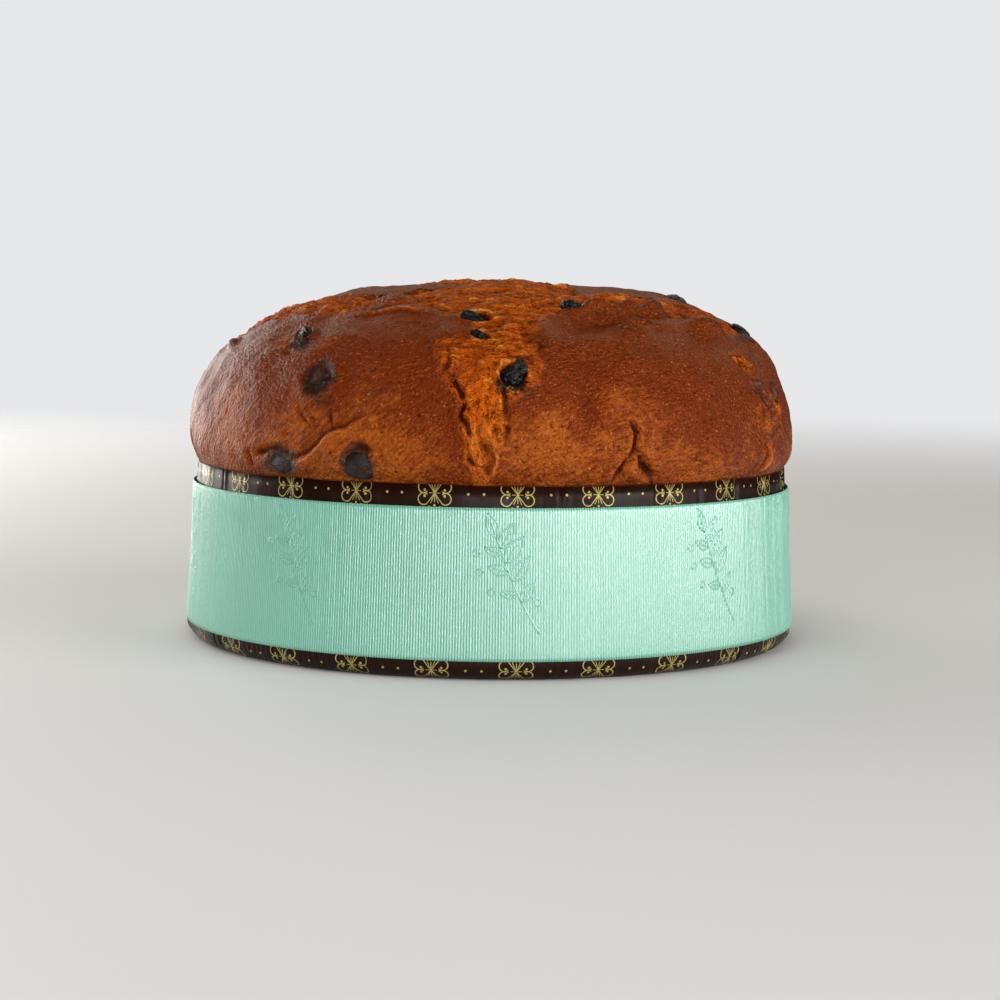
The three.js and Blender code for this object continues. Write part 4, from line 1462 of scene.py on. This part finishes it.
def paperMaterial():
    # the print repeats on a brick of motifs; each is folded into one quarter, where it is a few rings,
    # bars and dots whose distances are compared with the line's half width
    m, look = mouldShape, paperLook
    material, t, shader = newMaterial("mould_paper")
    place = t.add("ShaderNodeSeparateXYZ")
    t.link(t.attribute("printPlace", "Vector"), place.inputs[0])
    outside = place.outputs[2]
    pitch = 2 * math.pi * m["printRadius"] / m["printColumns"]
    rowPitch = m["printRows"] / 2
    u = t.minus(place.outputs[0], math.radians(m["printTurn"]) * m["printRadius"])
    v = t.minus(place.outputs[1], m["height"] - look["firstRow"])
    row = t.math("ROUND", t.math("DIVIDE", v, rowPitch))
    odd = t.math("PINGPONG", row, 1.0)
    shifted = t.plus(u, t.times(odd, pitch / 2))
    column = t.math("ROUND", t.math("DIVIDE", shifted, pitch))
    x = t.math("ABSOLUTE", t.minus(shifted, t.times(column, pitch)))
    y = t.math("ABSOLUTE", t.minus(v, t.times(row, rowPitch)))

    def dot(cx, cy, radius):
        return t.minus(t.length(t.minus(x, cx), t.minus(y, cy)), radius)

    def ring(cx, cy, radius, width):
        return t.minus(t.math("ABSOLUTE", dot(cx, cy, radius)), width)

    def bar(ax, ay, bx, by, width):
        dx, dy = bx - ax, by - ay
        px, py = t.minus(x, ax), t.minus(y, ay)
        along = t.plus(t.times(px, dx), t.times(py, dy))
        along = t.math("DIVIDE", along, dx * dx + dy * dy, clamp=True)
        gap = t.length(t.minus(px, t.times(along, dx)), t.minus(py, t.times(along, dy)))
        return t.minus(gap, width)

    w = look["line"]
    shapes = [
        # a scroll that opens towards the middle, with a knob at its end
        t.math("MAXIMUM", ring(3.5, 1.75, 1.75, w), t.minus(2.35, x)),
        bar(0.0, 0.0, 2.4, 3.1, w * 0.8),
        dot(3.2, 0.85, 0.42),
        # rays, the middle one longest, and a dot above
        bar(0.0, 0.0, 0.0, 2.6, w * 0.7),
        bar(0.0, 0.0, 1.2, 2.9, w * 0.7),
        bar(0.0, 0.0, 1.7, 0.0, w * 0.6),
        dot(0.0, 3.6, 0.36),
        dot(1.7, 4.2, 0.40),
        # a dot between motifs
        dot(10.6, 0.0, 0.42),
    ]
    nearest = shapes[0]
    for shape in shapes[1:]:
        nearest = t.math("MINIMUM", nearest, shape)
    coords = t.coords()
    fibres = t.noise(coords, 90, 3.0, 0.6)
    worn = t.noise(coords, 1500, 2.0, 0.5)
    ink = t.times(t.ramp(nearest, 0.06, -0.10), t.ramp(outside, 0.4, 0.6))
    ink = t.times(ink, t.ramp(worn, 0.32, 0.5, 0.55, 1.0))
    ground = t.mix(fibres, look["ground"], look["groundLight"])
    ground = t.mix(t.ramp(outside, 0.6, 0.4), ground, look["inside"])
    t.link(t.mix(ink, ground, look["gold"]), shader.inputs["Base Color"])
    t.link(t.times(ink, look["inkMetal"]), shader.inputs["Metallic"])
    t.link(t.ramp(fibres, 0.35, 0.65, *look["roughness"]), shader.inputs["Roughness"])
    shader.inputs["Specular IOR Level"].default_value = look["specular"]
    shader.inputs["IOR"].default_value = look["ior"]
    t.link(addGrain(t, coords, 260, 2.0, 0.5, 0.0004, 0.35)[1], shader.inputs["Normal"])
    return material


cardLook = {
    "dark": linear(66, 40, 24),
    "light": linear(92, 60, 38),
    "roughness": (0.62, 0.8),
    "fibres": (900, 300, 300),  # turns a metre along X, Y and Z
}


def cardMaterial():
    # two browns mixed by stretched fibres, which also make its bumps
    look = cardLook
    material, t, shader = newMaterial("mould_card")
    fibres, normal = addGrain(t, t.scaled(t.coords(), look["fibres"]), 1.0, 4.0, 0.7, 0.0004, 0.5)
    t.link(t.mix(t.ramp(fibres, 0.35, 0.65), look["dark"], look["light"]), shader.inputs["Base Color"])
    t.link(t.ramp(fibres, 0.3, 0.7, *look["roughness"]), shader.inputs["Roughness"])
    t.link(normal, shader.inputs["Normal"])
    return material


ribbonLook = {
    "mint": (0.166, 0.482, 0.358, 1),
    # painted shade between the ribs and on the inner face
    "mintShade": (0.048, 0.235, 0.162, 1),
    # darker mint for random patches, and for the pressed sprig lines as painted shade for the sheen they lose
    "pressed": (0.090, 0.345, 0.255, 1),
    "threads": (2600, 2600, 900),  # turns a metre along X, Y and Z
    "roughness": (0.28, 0.40),
    "ior": 2.0,
    "specular": 0.85,
    "sheen": 0.20,
    "sheenRoughness": 0.35,
}


def ribbonMaterial(pressed=False):
    # mint that deepens in patches, with painted shade between the ribs and on the inner face; where the sprig
    # is pressed in it is a darker mint all over, painted shade for the sheen the flattened ribs lose
    look = ribbonLook
    material, t, shader = newMaterial("grosgrain_pressed" if pressed else "grosgrain")
    coords = t.coords()
    threads, normal = addGrain(t, t.scaled(coords, look["threads"]), 1.0, 2.0, 0.6, 0.0003, 0.4)
    patch = t.noise(coords, 30, 2.0, 0.5)
    if pressed:
        color = t.mix(t.ramp(patch, 0.3, 0.7, 0, 0.3), look["pressed"], look["mint"])
    else:
        color = t.mix(t.ramp(patch, 0.3, 0.7, 0, 0.35), look["mint"], look["pressed"])
        # painted shade between the ribs and on the inner face
        color = t.mix(t.ramp(t.attribute("valley"), 0.25, 0.9, 0, 0.9), color, look["mintShade"])
    t.link(color, shader.inputs["Base Color"])
    t.link(t.ramp(threads, 0.3, 0.7, *look["roughness"]), shader.inputs["Roughness"])
    shader.inputs["IOR"].default_value = look["ior"]
    shader.inputs["Specular IOR Level"].default_value = look["specular"]
    shader.inputs["Sheen Weight"].default_value = look["sheen"]
    shader.inputs["Sheen Roughness"].default_value = look["sheenRoughness"]
    t.link(normal, shader.inputs["Normal"])
    return material


tapeLook = {
    "clear": linear(226, 224, 212),
    "cloudy": linear(240, 239, 230),
    "roughness": (0.3, 0.45),
}


def tapeMaterial():
    # near white, mixed by a cloudy noise
    look = tapeLook
    material, t, shader = newMaterial("adhesive_tape")
    cloud = t.noise(t.coords(), 180, 3.0, 0.6)
    t.link(t.mix(cloud, look["clear"], look["cloudy"]), shader.inputs["Base Color"])
    t.link(t.ramp(cloud, 0.3, 0.7, *look["roughness"]), shader.inputs["Roughness"])
    return material


raisinFinish = raisinMaterial()
finished = [
    (loafPiece, crustMaterial(), "crust", "loaf"),
    (wallPiece, paperMaterial(), "mould_paper", "mould_wall"),
    (basePiece, cardMaterial(), "mould_card", "mould_base"),
    (ribbonPiece, ribbonMaterial(), "grosgrain", "ribbon"),
    (sprigPiece, ribbonMaterial(pressed=True), "grosgrain", None),
    (tapePiece, tapeMaterial(), "adhesive_tape", "ribbon_tape"),
]
finished += [(piece, raisinFinish, "raisin", name) for name, piece in raisinPieces.items()]
for piece, material, slotName, node in finished:
    piece.data.materials.append(material)
    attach(piece, "root")
    if node:
        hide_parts(node)
print("materials and frame")
